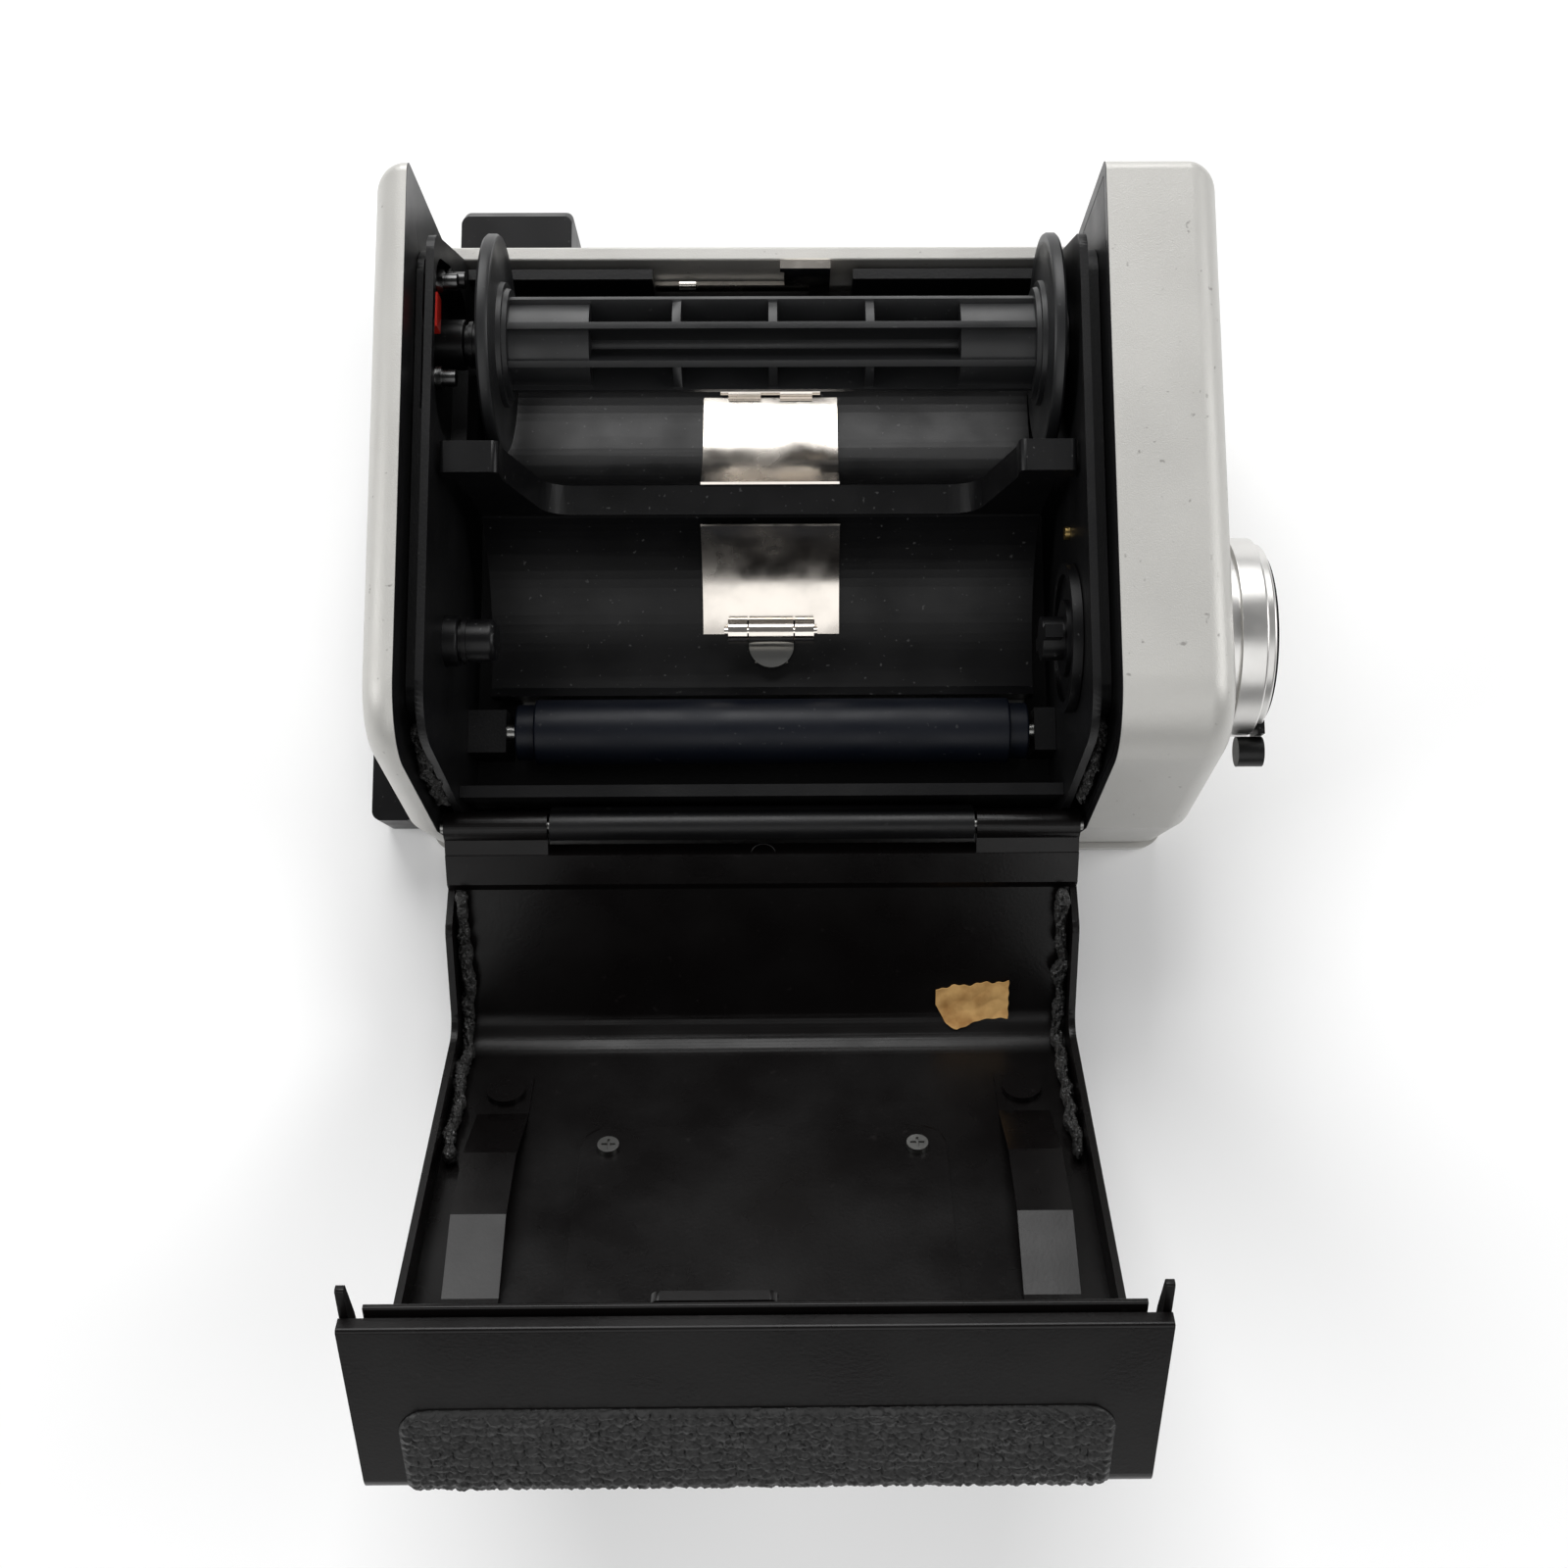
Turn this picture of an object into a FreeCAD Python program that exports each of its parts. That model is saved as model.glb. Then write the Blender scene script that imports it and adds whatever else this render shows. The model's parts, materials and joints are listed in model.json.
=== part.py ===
import FreeCAD, Part
import math
import os

import Sketcher

# Interchangeable roll-film magazine for a medium-format camera, rear door open.
# Frame: X across the film, Y up the magazine (supply spool low, take-up spool high), Z from the
# camera side to the rear. Z = 0 is the face that seats on the camera, X = 0 the middle of the film.

SIZES = [
    ("body_depth", 46.0, "camera face to rear edge"),
    ("top_y", 35.6, "top of the side covers"),
    ("foot_y", -35.6, "bottom of the side covers"),
    ("rear_corner_y", -29.5, "bottom rear corner height"),
    ("foot_z", 18.0, "depth where the sloped bottom starts"),
    ("corner_round", 9.0, "radius of the bottom rear corner"),
    ("left_face", -39.7, "inner face of the left cover"),
    ("left_thick", 3.8, "left cover thickness"),
    ("right_face", 37.1, "inner face of the gear housing"),
    ("right_thick", 12.6, "gear housing thickness"),
    ("shell_wall", 1.4, "gear housing wall"),
    ("edge_round", 3.2, "rounding of the covers' outer edges"),
    ("plate_thick", 2.2, "camera-side mounting plate"),
    ("frame_z", 4.2, "camera side of the inner frame"),
    ("frame_thick", 2.4, "inner frame plate"),
    ("gate_x", 56.0, "film gate width"),
    ("gate_y", 42.0, "film gate height"),
    ("gate_mid_y", 0.0, "film gate centre height"),
    ("rib_left", -36.95, "left chamber wall, inner face"),
    ("rib_right", 34.35, "right chamber wall, inner face"),
    ("rib_thick", 0.9, "light-trap rib"),
    ("rib_inset", 2.4, "rib edge below the covers' edge"),
    ("base_inset", 6.3, "channel floor below the covers' edge"),
    ("top_edge_z", 22.2, "rear edge of the top cover"),
    ("top_skin", 1.7, "top cover thickness"),
    ("spool_y", 19.9, "take-up spool axis height"),
    ("supply_y", -15.3, "supply spool axis height"),
    ("spool_z", 30.6, "spool axes depth"),
    ("spool_mid_x", 0.2, "middle of the spools"),
    ("spool_long", 65.5, "spool over the flanges"),
    ("flange_rad", 12.6, "spool flange radius"),
    ("flange_thick", 1.6, "spool flange thickness"),
    ("core_rad", 5.75, "spool core radius"),
    ("insert_z", 9.6, "camera side of the film insert"),
    ("ridge_z", 22.0, "ridge between the spool troughs"),
    ("trough_up", 17.3, "take-up trough radius"),
    ("trough_low", 18.9, "supply trough radius"),
    ("roller_low_y", -23.0, "lower roller height"),
    ("roller_up_y", 24.7, "upper roller height"),
    ("roller_z", 13.2, "roller axes depth"),
    ("roller_low_rad", 4.0, "lower roller radius"),
    ("roller_up_rad", 3.6, "upper roller radius"),
    ("hinge_y", -35.0, "door hinge height"),
    ("hinge_z", 17.5, "door hinge depth"),
    ("barrel_rad", 1.7, "hinge barrel radius"),
    ("pin_rad", 0.75, "hinge pin radius"),
    ("door_open", 132.0, "door angle at its stop"),
    ("door_left", -38.9, "left edge of the door"),
    ("door_wide", 75.2, "door width"),
    ("door_skin", 1.5, "door skin thickness"),
    ("return_deep", 4.0, "side returns of the door"),
    ("flange_edge", 22.5, "free edge of the door's top flange"),
    ("gear_face", 41.0, "left face of the gears"),
    ("gear_thick", 2.0, "gear thickness"),
    ("knob_rad", 11.3, "winding knob radius"),
    ("stud_rad", 1.2, "idler stud radius"),
    ("shaft_rad", 2.5, "knob shaft and key shaft radius"),
    ("play", 0.05, "running clearance, radial"),
]

doc = FreeCAD.newDocument("RollFilmMagazine")
sheet = doc.addObject("Spreadsheet::Sheet", "Params")
for row, (alias, value, note) in enumerate(SIZES, start=1):
    sheet.set(f"A{row}", note)
    sheet.set(f"B{row}", str(value))
    sheet.setAlias(f"B{row}", alias)
doc.recompute()

Vec = FreeCAD.Vector
NODES = {}

# Places that several sub-parts share, in mm.
SCREW_SPOTS = [(x, y) for x in (-36.0, 33.6) for y in (-31.3, 31.6)]
SPRING_X = (-22.0, 22.0)
SPRING_Y = 3.2
LOW_HINGE = (-10.9, 15.0)
UP_HINGE = (19.9, 14.6)
LEAF_SCREW_X = -0.2
LEAF_SCREW_Y = -12.3
CRANK_X = "right_face + right_thick + 5.15"
CRANK_Y = "supply_y + 1.5"


def dim(alias):
    """Value of a driving dimension."""
    return float(sheet.get(alias))


def expr(text):
    """Expression on the sheet: each word of the text that is a cell's alias gets the sheet's name."""
    words = text.replace("(", "( ").replace(")", " )").split()
    known = {alias for alias, _value, _note in SIZES}
    return " ".join(f"Params.{word}" if word in known else word for word in words)


def keep(node, thing):
    """Name a finished sub-part."""
    thing.Label = node
    NODES[node] = thing
    return thing


# ---------------------------------------------------------------- sketch and feature helpers


def plane_of(body, role):
    return next(item for item in body.Origin.OriginFeatures if item.Role == role)


def rounded(corners):
    """Edges of a closed outline whose corners (u, v, radius) are rounded by arcs."""
    count = len(corners)
    cuts = []
    for index, (u, v, radius) in enumerate(corners):
        here = Vec(u, v, 0)
        before = Vec(*corners[index - 1][:2], 0) - here
        after = Vec(*corners[(index + 1) % count][:2], 0) - here
        if radius <= 0:
            cuts.append((here, None, here))
            continue
        half = before.getAngle(after) / 2
        before.normalize()
        after.normalize()
        reach = radius / math.tan(half)
        middle = (before + after).normalize() * (radius / math.sin(half) - radius)
        cuts.append((here + before * reach, here + middle, here + after * reach))
    edges = []
    for index, (start, middle, stop) in enumerate(cuts):
        if middle is not None:
            edges.append(Part.Arc(start, middle, stop))
        following = cuts[(index + 1) % count][0]
        if stop.distanceToPoint(following) > 1e-6:
            edges.append(Part.LineSegment(stop, following))
    return edges


def sketch_on(body, role, offset, loops=(), circles=(), edges=()):
    """Sketch on an origin plane of the body, moved along its normal by an expression."""
    sketch = body.newObject("Sketcher::SketchObject", body.Name + "Sketch")
    sketch.AttachmentSupport = [(plane_of(body, role), "")]
    sketch.MapMode = "FlatFace"
    sketch.setExpression("AttachmentOffset.Base.z", expr(offset))
    for loop in loops:
        for edge in rounded(loop):
            sketch.addGeometry(edge, False)
    for edge in edges:
        sketch.addGeometry(edge, False)
    for u, v, radius in circles:
        start = dim(radius) if radius in {name for name, _v, _n in SIZES} else 1.0
        index = sketch.addGeometry(Part.Circle(Vec(u, v, 0), Vec(0, 0, 1), start), False)
        sketch.addConstraint(Sketcher.Constraint("Radius", index, start))
        sketch.setExpression(f"Constraints[{sketch.ConstraintCount - 1}]", expr(radius))
    return sketch


def new_body(node):
    body = doc.addObject("PartDesign::Body", "Body_" + node)
    return keep(node, body)


def pad(body, sketch, length, both=False):
    feature = body.newObject("PartDesign::Pad", body.Name + "Pad")
    feature.Profile = sketch
    feature.setExpression("Length", expr(length))
    feature.Midplane = both
    body.Tip = feature
    return feature


def cut(body, sketch, length, upward=False, both=False):
    """Pocket against the sketch's normal, or along it when upward."""
    feature = body.newObject("PartDesign::Pocket", body.Name + "Pocket")
    feature.Profile = sketch
    feature.setExpression("Length", expr(length))
    feature.Reversed = upward
    feature.Midplane = both
    body.Tip = feature
    return feature


def spin(body, sketch):
    """Turn a sketch about its own horizontal axis."""
    feature = body.newObject("PartDesign::Revolution", body.Name + "Turn")
    feature.Profile = sketch
    feature.ReferenceAxis = (sketch, ["H_Axis"])
    feature.Angle = 360
    body.Tip = feature
    return feature


def round_edges(body, radius, chosen):
    """Fillet the edges of the body's tip that the chosen test picks."""
    doc.recompute()
    base = body.Tip
    names = [f"Edge{i}" for i, edge in enumerate(base.Shape.Edges, start=1) if chosen(edge)]
    feature = body.newObject("PartDesign::Fillet", body.Name + "Fillet")
    feature.Base = (base, names)
    feature.setExpression("Radius", expr(radius))
    body.Tip = feature
    return feature


def lies_at_x(value):
    """Test for edges that lie wholly in the plane X = value."""
    return lambda edge: all(abs(v.X - value) < 1e-4 for v in edge.Vertexes)


def place(thing, x="0", y="0", z="0"):
    """Bind a placement to the sheet."""
    for axis, text in zip("xyz", (x, y, z)):
        thing.setExpression(f"Placement.Base.{axis}", expr(text))
    return thing


def block(name, x, y, z, wide, high, deep):
    """Box from its low corner and its sizes, all expressions."""
    box = doc.addObject("Part::Box", name)
    for size, text in zip(("Length", "Width", "Height"), (wide, high, deep)):
        box.setExpression(size, expr(text))
    return place(box, x, y, z)


def rod(name, radius, start, long, y, z):
    """Round bar along X from its left end."""
    bar = doc.addObject("Part::Cylinder", name)
    bar.setExpression("Radius", expr(radius))
    bar.setExpression("Height", expr(long))
    bar.Placement = FreeCAD.Placement(Vec(), FreeCAD.Rotation(Vec(0, 1, 0), 90))
    return place(bar, start, y, z)


def fused(name, pieces):
    joined = doc.addObject("Part::MultiFuse", name)
    joined.Shapes = pieces
    return joined


def minus(name, base, tool):
    rest = doc.addObject("Part::Cut", name)
    rest.Base = base
    rest.Tool = tool
    return rest


def rectangle(left, low, wide, high, radius=0.0):
    return [(left, low, radius), (left + wide, low, radius),
            (left + wide, low + high, radius), (left, low + high, radius)]


# ---------------------------------------------------------------- shared outlines


def slope_line(inset):
    """Point and (dy, dz) direction of the sloped bottom, moved inward."""
    rise = dim("rear_corner_y") - dim("foot_y")
    run = dim("body_depth") - dim("foot_z")
    size = math.hypot(rise, run)
    point_y = dim("rear_corner_y") + inset * run / size
    point_z = dim("body_depth") - inset * rise / size
    return point_y, point_z, rise / run


def slope_y(z, inset):
    """Height of the sloped bottom at a depth."""
    point_y, point_z, grade = slope_line(inset)
    return point_y + (z - point_z) * grade


def slope_foot(inset):
    """Depth where the inset sloped bottom meets the inset flat bottom."""
    point_y, point_z, grade = slope_line(inset)
    return point_z + (dim("foot_y") + inset - point_y) / grade


def side_outline(inset, front, top=None):
    """Side outline in (Y, Z), every edge moved inward by the same distance."""
    rear = dim("body_depth") - inset
    corner = max(1.4 - inset, 0.4) if top is None else 4.0
    top = dim("top_y") - inset if top is None else top
    return [
        (top, front, 0),
        (top, rear, corner),
        (slope_y(rear, inset), rear, max(dim("corner_round") - inset, 2.0)),
        (dim("foot_y") + inset, slope_foot(inset), 2.0),
        (dim("foot_y") + inset, front, 0),
    ]


def wall_outline(front):
    """Chamber wall: the side outline with its top rear corner sloped away."""
    inset = dim("rib_inset")
    rear = dim("body_depth") - inset
    corner = side_outline(inset, front)
    return [(32.9, front, 0), (32.9, 25.0, 3.0), (28.0, rear, 2.5)] + corner[2:]


# ---------------------------------------------------------------- covers and frame


def left_side_cover():
    body = new_body("left_side_cover")
    outer = sketch_on(body, "YZ_Plane", "left_face - left_thick",
                      [side_outline(0, dim("frame_z"))])
    pad(body, outer, "left_thick")
    round_edges(body, "edge_round", lies_at_x(dim("left_face") - dim("left_thick")))
    room = sketch_on(body, "YZ_Plane", "left_face",
                     [side_outline(8.0, dim("frame_z") + 4.0)])
    cut(body, room, "left_thick - 1.0")


def right_gear_housing():
    body = new_body("right_gear_housing")
    outer = sketch_on(body, "YZ_Plane", "right_face", [side_outline(0, 2.8)])
    pad(body, outer, "right_thick")
    round_edges(body, "edge_round", lies_at_x(dim("right_face") + dim("right_thick")))
    room = sketch_on(body, "YZ_Plane", "right_face",
                     [side_outline(dim("shell_wall"), 2.8 + dim("shell_wall"))])
    cut(body, room, "right_thick - shell_wall", upward=True)
    bore = sketch_on(body, "YZ_Plane", "right_face",
                     circles=[(dim("supply_y"), dim("spool_z"), "shaft_rad + play")])
    cut(body, bore, "right_thick", upward=True)


def top_cover():
    """Thin metal strip over the take-up chamber, between the side covers."""
    plate = block("TopStrip", "left_face + 0.1", "top_y - top_skin", "plate_thick + 0.4",
                  "right_face - left_face - 0.2", "top_skin", "top_edge_z - plate_thick - 0.4")
    slot = block("LatchSlot", "-34.9", "top_y - top_skin - 1", "12.8", "7.0", "4", "2.0")
    keep("top_cover", minus("TopCut", plate, slot))


def bottom_cover():
    plate = block("BottomSheet", "left_face + 0.1", "foot_y", "plate_thick + 0.4",
                  "right_face - left_face - 0.2", "0.6", "12.4")
    keep("bottom_cover", plate)


def mount_plate():
    """Plate that seats on the camera, with the film opening and four countersunk holes."""
    body = new_body("mount_plate")
    left = dim("left_face") - dim("left_thick") + 0.4
    wide = dim("right_face") + dim("right_thick") - 0.6 - left
    low = dim("foot_y") - 0.7
    outline = rectangle(left, low, wide, dim("top_y") - 0.3 - low, 3.0)
    opening = rectangle(-dim("gate_x") / 2 - 1, dim("gate_mid_y") - dim("gate_y") / 2 - 1,
                        dim("gate_x") + 2, dim("gate_y") + 2, 1.5)
    pad(body, sketch_on(body, "XY_Plane", "0", [outline, opening]), "plate_thick")
    doc.recompute()
    spots = sketch_on(body, "XY_Plane", "plate_thick",
                      circles=[(x, y, "1.0") for x, y in SCREW_SPOTS])
    cut(body, spots, "plate_thick")
    heads = sketch_on(body, "XY_Plane", "1.2", circles=[(x, y, "2.05") for x, y in SCREW_SPOTS])
    cut(body, heads, "1.2")


def mount_plate_screws():
    """Four flush screws through the mounting plate into the inner frame."""
    pieces = []
    for index, (x, y) in enumerate(SCREW_SPOTS):
        head = doc.addObject("Part::Cylinder", f"ScrewHead{index}")
        head.Radius = 2.0
        head.Height = 1.0
        place(head, str(x), str(y), "0.2")
        slot = block(f"ScrewSlot{index}", f"{x} - 2.5", f"{y} - 0.3", "0", "5", "0.6", "0.6")
        shank = doc.addObject("Part::Cylinder", f"ScrewShank{index}")
        shank.Radius = 0.95
        shank.Height = 4.2
        place(shank, str(x), str(y), "1.2")
        pieces += [fused(f"Screw{index}", [minus(f"ScrewTop{index}", head, slot), shank])]
    group = doc.addObject("Part::Compound", "PlateScrews")
    group.Links = pieces
    keep("mount_plate_screws", group)


def front_frame():
    """Black inner frame: gate plate with a top lip and a bottom lip."""
    body = new_body("front_frame")
    left = dim("left_face") + 0.2
    wide = dim("right_face") - 0.1 - left
    outline = rectangle(left, -32.5, wide, 65.6)
    gate = rectangle(-dim("gate_x") / 2, dim("gate_mid_y") - dim("gate_y") / 2,
                     dim("gate_x"), dim("gate_y"), 0.8)
    pad(body, sketch_on(body, "XY_Plane", "frame_z", [outline, gate]), "frame_thick")
    top_lip = rectangle(31.6, 5.0, 1.3, dim("top_edge_z") - 5.4)
    bottom_lip = rectangle(-31.8, 5.0, 1.4, 15.0)
    lips = sketch_on(body, "YZ_Plane", "rib_left + 0.05", [top_lip, bottom_lip])
    pad(body, lips, "rib_right - rib_left - 0.1")
    window = sketch_on(body, "XY_Plane", "top_edge_z + 1", [rectangle(-14.5, 31.0, 24.5, 2.5)])
    cut(body, window, "8.5")
    holes = sketch_on(body, "XY_Plane", "frame_z + frame_thick",
                      circles=[(x, y, "0.95") for x, y in SCREW_SPOTS])
    cut(body, holes, "frame_thick")


def film_rails():
    """Two polished rails that carry the film's edges past the gate."""
    rails = [block(f"Rail{side}", f"{side} * 30.2 - 1.3", "gate_mid_y - 25", "frame_z + frame_thick",
                   "2.6", "50", "0.5") for side in (-1, 1)]
    group = doc.addObject("Part::Compound", "RailPair")
    group.Links = rails
    keep("film_rails", group)


def slide_guides():
    """Bars above and below the dark slide, between the mounting plate and the inner frame."""
    bars = [block(f"Guide{index}", "left_face + 0.2", low, "plate_thick",
                  "right_face - left_face - 0.4", "1.0", "frame_z - plate_thick")
            for index, low in enumerate(("gate_mid_y + 28.9", "gate_mid_y - 29.9"))]
    group = doc.addObject("Part::Compound", "GuidePair")
    group.Links = bars
    keep("slide_guides", group)


def liner(node, inner, outward, recess):
    """Chamber wall with its light-trap rib; outward is -1 on the left, +1 on the right."""
    body = new_body(node)
    face = dim("left_face") + 0.1 if outward < 0 else dim("right_face") - 0.1
    base_low = min(face, dim(inner))
    rib_low = dim(inner) - dim("rib_thick") if outward < 0 else dim(inner)
    base = sketch_on(body, "YZ_Plane", f"{base_low}",
                     [side_outline(dim("base_inset"), dim("frame_z") + dim("frame_thick"), 28.9)])
    pad(body, base, f"{abs(face - dim(inner))}")
    wall = sketch_on(body, "YZ_Plane", f"{rib_low}",
                     [wall_outline(dim("frame_z") + dim("frame_thick"))])
    pad(body, wall, "rib_thick")
    low_bore = sketch_on(body, "YZ_Plane", "0",
                         circles=[(dim("supply_y"), dim("spool_z"), "2.95")])
    cut(body, low_bore, "90", both=True)
    high_bore = sketch_on(body, "YZ_Plane", "0",
                          circles=[(dim("spool_y"), dim("spool_z"), "2.95")])
    cut(body, high_bore, "90", both=True)
    if recess:
        oval = [(7.5, 20.0, 6.0), (28.2, 20.0, 6.0), (28.2, 34.0, 3.0), (26.0, 42.2, 4.0),
                (7.5, 42.2, 7.0)]
        cut(body, sketch_on(body, "YZ_Plane", f"{dim(inner) + 1.0}", [oval]), "2.9")


def mechanism_plate():
    """Plate that closes the gear housing and carries the shafts."""
    body = new_body("mechanism_plate")
    edge = dim("shell_wall") + 0.15
    pad(body, sketch_on(body, "YZ_Plane", "right_face", [side_outline(edge, 2.8 + edge)]), "1.2")
    bores = [(dim("supply_y"), dim("spool_z"), "shaft_rad + play"),
             (dim("spool_y"), dim("spool_z"), "shaft_rad + play"),
             (idler_y(), dim("spool_z"), "stud_rad")]
    cut(body, sketch_on(body, "YZ_Plane", "right_face", circles=bores), "1.2", upward=True)


# ---------------------------------------------------------------- film insert


def trough_z(y, centre, radius):
    """Depth of a trough's floor at a height."""
    return dim("spool_z") - math.sqrt(radius ** 2 - (y - centre) ** 2)


def trough_edge(centre, radius, side):
    """Height where a trough meets the ridge."""
    drop = dim("spool_z") - dim("ridge_z")
    return centre + side * math.sqrt(radius ** 2 - drop ** 2)


def film_insert():
    """Molded carrier: two spool troughs, the ridge between them and a finger tab at each end."""
    body = new_body("film_insert")
    low, high = -18.4, 20.6
    base = dim("insert_z")
    up_y, up_r = dim("spool_y"), dim("trough_up")
    low_y, low_r = dim("supply_y"), dim("trough_low")
    edge_low = Vec(trough_edge(low_y, low_r, 1), dim("ridge_z"), 0)
    edge_up = Vec(trough_edge(up_y, up_r, -1), dim("ridge_z"), 0)
    lip = Vec(low, trough_z(low, low_y, low_r) + 0.9, 0)
    start = Vec(low + 1.2, trough_z(low + 1.2, low_y, low_r), 0)
    stop = Vec(high, trough_z(high, up_y, up_r), 0)
    mid_low = Vec(-8.0, trough_z(-8.0, low_y, low_r), 0)
    mid_up = Vec(12.0, trough_z(12.0, up_y, up_r), 0)
    edges = [Part.LineSegment(Vec(low, base, 0), lip), Part.LineSegment(lip, start),
             Part.Arc(start, mid_low, edge_low), Part.LineSegment(edge_low, edge_up),
             Part.Arc(edge_up, mid_up, stop), Part.LineSegment(stop, Vec(high, base, 0)),
             Part.LineSegment(Vec(high, base, 0), Vec(low, base, 0))]
    pad(body, sketch_on(body, "YZ_Plane", "-34.6", edges=edges), "66.6")
    foot = dim("ridge_z") - 2.5
    yoke = [(-34.6, foot, 0), (32.0, foot, 0), (32.0, 36.6, 0.8), (34.0, 37.6, 0.5),
            (34.0, 40.0, 0.6), (27.6, 40.0, 0.8), (27.6, 37.0, 1.5), (24.2, dim("ridge_z") + 0.6, 4.0),
            (-26.6, dim("ridge_z") + 0.6, 4.0), (-30.0, 37.0, 1.5), (-30.0, 40.0, 0.8),
            (-36.6, 40.0, 0.6), (-36.6, 37.6, 0.5), (-34.6, 36.6, 0.8)]
    pad(body, sketch_on(body, "XZ_Plane", "-5.3", [yoke]), "3.6")
    pockets = sketch_on(body, "XY_Plane", "insert_z",
                        circles=[(x, SPRING_Y, "2.1") for x in SPRING_X])
    cut(body, pockets, "6.0", upward=True)
    thread = sketch_on(body, "XY_Plane", "13.0", circles=[(LEAF_SCREW_X, LEAF_SCREW_Y, "1.0")])
    cut(body, thread, "4.0")


def pressure_plate():
    """Polished plate that holds the film flat against the rails."""
    body = new_body("pressure_plate")
    outline = rectangle(-31.0, dim("gate_mid_y") - 23.6, 62.0, 47.2, 2.0)
    pad(body, sketch_on(body, "XY_Plane", "7.6", [outline]), "1.4")


def pressure_springs():
    """Two springs in the insert's pockets, behind the pressure plate, as plain tubes."""
    pieces = []
    for index, x in enumerate(SPRING_X):
        tubes = []
        for part, radius, extra in (("Coil", 1.8, 0.0), ("CoilCore", 1.35, 1.0)):
            tube = doc.addObject("Part::Cylinder", f"{part}{index}")
            tube.Radius = radius
            tube.Height = 6.2 + 2 * extra
            tubes.append(place(tube, str(x), str(SPRING_Y), f"{9.1 - extra}"))
        pieces.append(minus(f"CoilTube{index}", *tubes))
    group = doc.addObject("Part::Compound", "CoilPair")
    group.Links = pieces
    keep("pressure_springs", group)


def arc_leaf(body, centre, radius, thick, angles, left, wide):
    """Curved leaf: a ring sector in (Y, Z) about a spool axis, padded along X."""
    def at(r, degrees):
        turn = math.radians(degrees)
        return Vec(centre + r * math.cos(turn), dim("spool_z") - r * math.sin(turn), 0)
    first, last = angles
    middle = (first + last) / 2
    outer = radius
    inner = radius - thick
    edges = [Part.Arc(at(outer, first), at(outer, middle), at(outer, last)),
             Part.LineSegment(at(outer, last), at(inner, last)),
             Part.Arc(at(inner, last), at(inner, middle), at(inner, first)),
             Part.LineSegment(at(inner, first), at(outer, first))]
    pad(body, sketch_on(body, "YZ_Plane", str(left), edges=edges), str(wide))


def lower_spring_plate():
    """Chrome leaf over the supply trough, rolled round its hinge pin at the lower edge."""
    body = new_body("lower_spring_plate")
    arc_leaf(body, dim("supply_y"), dim("trough_low") - 1.3, 0.3, (26.5, 75.5), -8.5, 16.6)
    y, z = LOW_HINGE
    roll = sketch_on(body, "YZ_Plane", "-2.9", circles=[(y, z, "1.5")])
    pad(body, roll, "5.4")
    bore = sketch_on(body, "YZ_Plane", "-9", circles=[(y, z, "0.65")])
    cut(body, bore, "18", upward=True)
    for left in (-5.5, 2.5):
        gap = sketch_on(body, "YZ_Plane", str(left), [rectangle(y - 2.0, z - 2.5, 3.6, 4.1)])
        cut(body, gap, "2.6", upward=True)


def upper_spring_plate():
    """Chrome leaf over the take-up trough, hooked into the insert at its upper edge."""
    body = new_body("upper_spring_plate")
    arc_leaf(body, dim("spool_y"), dim("trough_up") - 0.8, 0.3, (93.0, 152.0), -8.5, 16.6)
    y, z = UP_HINGE
    for left in (-5.4, 1.0):
        hook = sketch_on(body, "YZ_Plane", str(left), circles=[(y, z, "1.1"), (y, z, "0.65")])
        pad(body, hook, "4.0")


def spring_bracket():
    """Fixed foot of the lower leaf, screwed to the insert, with a knuckle between the rolls."""
    y, z = LOW_HINGE
    foot = block("BracketFoot", "-2.2", "-14.4", "12.45", "4.0", "4.2", "0.5")
    strip = block("BracketStrip", "-5.4", "-11.6", "12.45", "10.4", "1.4", "0.5")
    webs = [block(f"BracketWeb{x}", x, "-11.5", "12.6", "2.3", "1.1", "1.4") for x in ("-5.4", "2.7")]
    rolls = [rod(f"BracketKnuckle{x}", "1.5", x, "2.3", str(y), str(z)) for x in ("-5.4", "2.7")]
    bore = rod("BracketBore", "0.6", "-6", "12", str(y), str(z))
    hole = doc.addObject("Part::Cylinder", "BracketHole")
    hole.Radius = 1.0
    hole.Height = 3.0
    place(hole, str(LEAF_SCREW_X), str(LEAF_SCREW_Y), "11.5")
    whole = fused("BracketSolid", [foot, strip, *webs, *rolls])
    keep("spring_bracket", minus("Bracket", minus("BracketBored", whole, bore), hole))


def leaf_pins():
    """Pins that the two leaves turn on."""
    low = rod("LowLeafPin", "0.6", "-5.9", "11.3", str(LOW_HINGE[0]), str(LOW_HINGE[1]))
    high = rod("HighLeafPin", "0.6", "-6.4", "12.4", str(UP_HINGE[0]), str(UP_HINGE[1]))
    lug = block("HighLeafLug", "-0.9", f"{UP_HINGE[0]} - 0.6", "13.36", "1.4", "1.2", "1.3")
    group = doc.addObject("Part::Compound", "LeafPins")
    group.Links = [low, fused("HighLeafStaple", [high, lug])]
    keep("leaf_pins", group)


def spring_screw():
    """Slotted screw that holds the bracket."""
    head = doc.addObject("Part::Cylinder", "LeafScrewHead")
    head.Radius = 2.75
    head.Height = 0.5
    place(head, str(LEAF_SCREW_X), str(LEAF_SCREW_Y), "12.95")
    slot = block("LeafScrewSlot", "-3.2", f"{LEAF_SCREW_Y} - 0.2", "13.2", "6", "0.4", "0.6")
    shank = doc.addObject("Part::Cylinder", "LeafScrewShank")
    shank.Radius = 0.95
    shank.Height = 3.6
    place(shank, str(LEAF_SCREW_X), str(LEAF_SCREW_Y), "9.7")
    keep("spring_screw", fused("LeafScrew", [minus("LeafScrewTop", head, slot), shank]))


# ---------------------------------------------------------------- rollers


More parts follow.
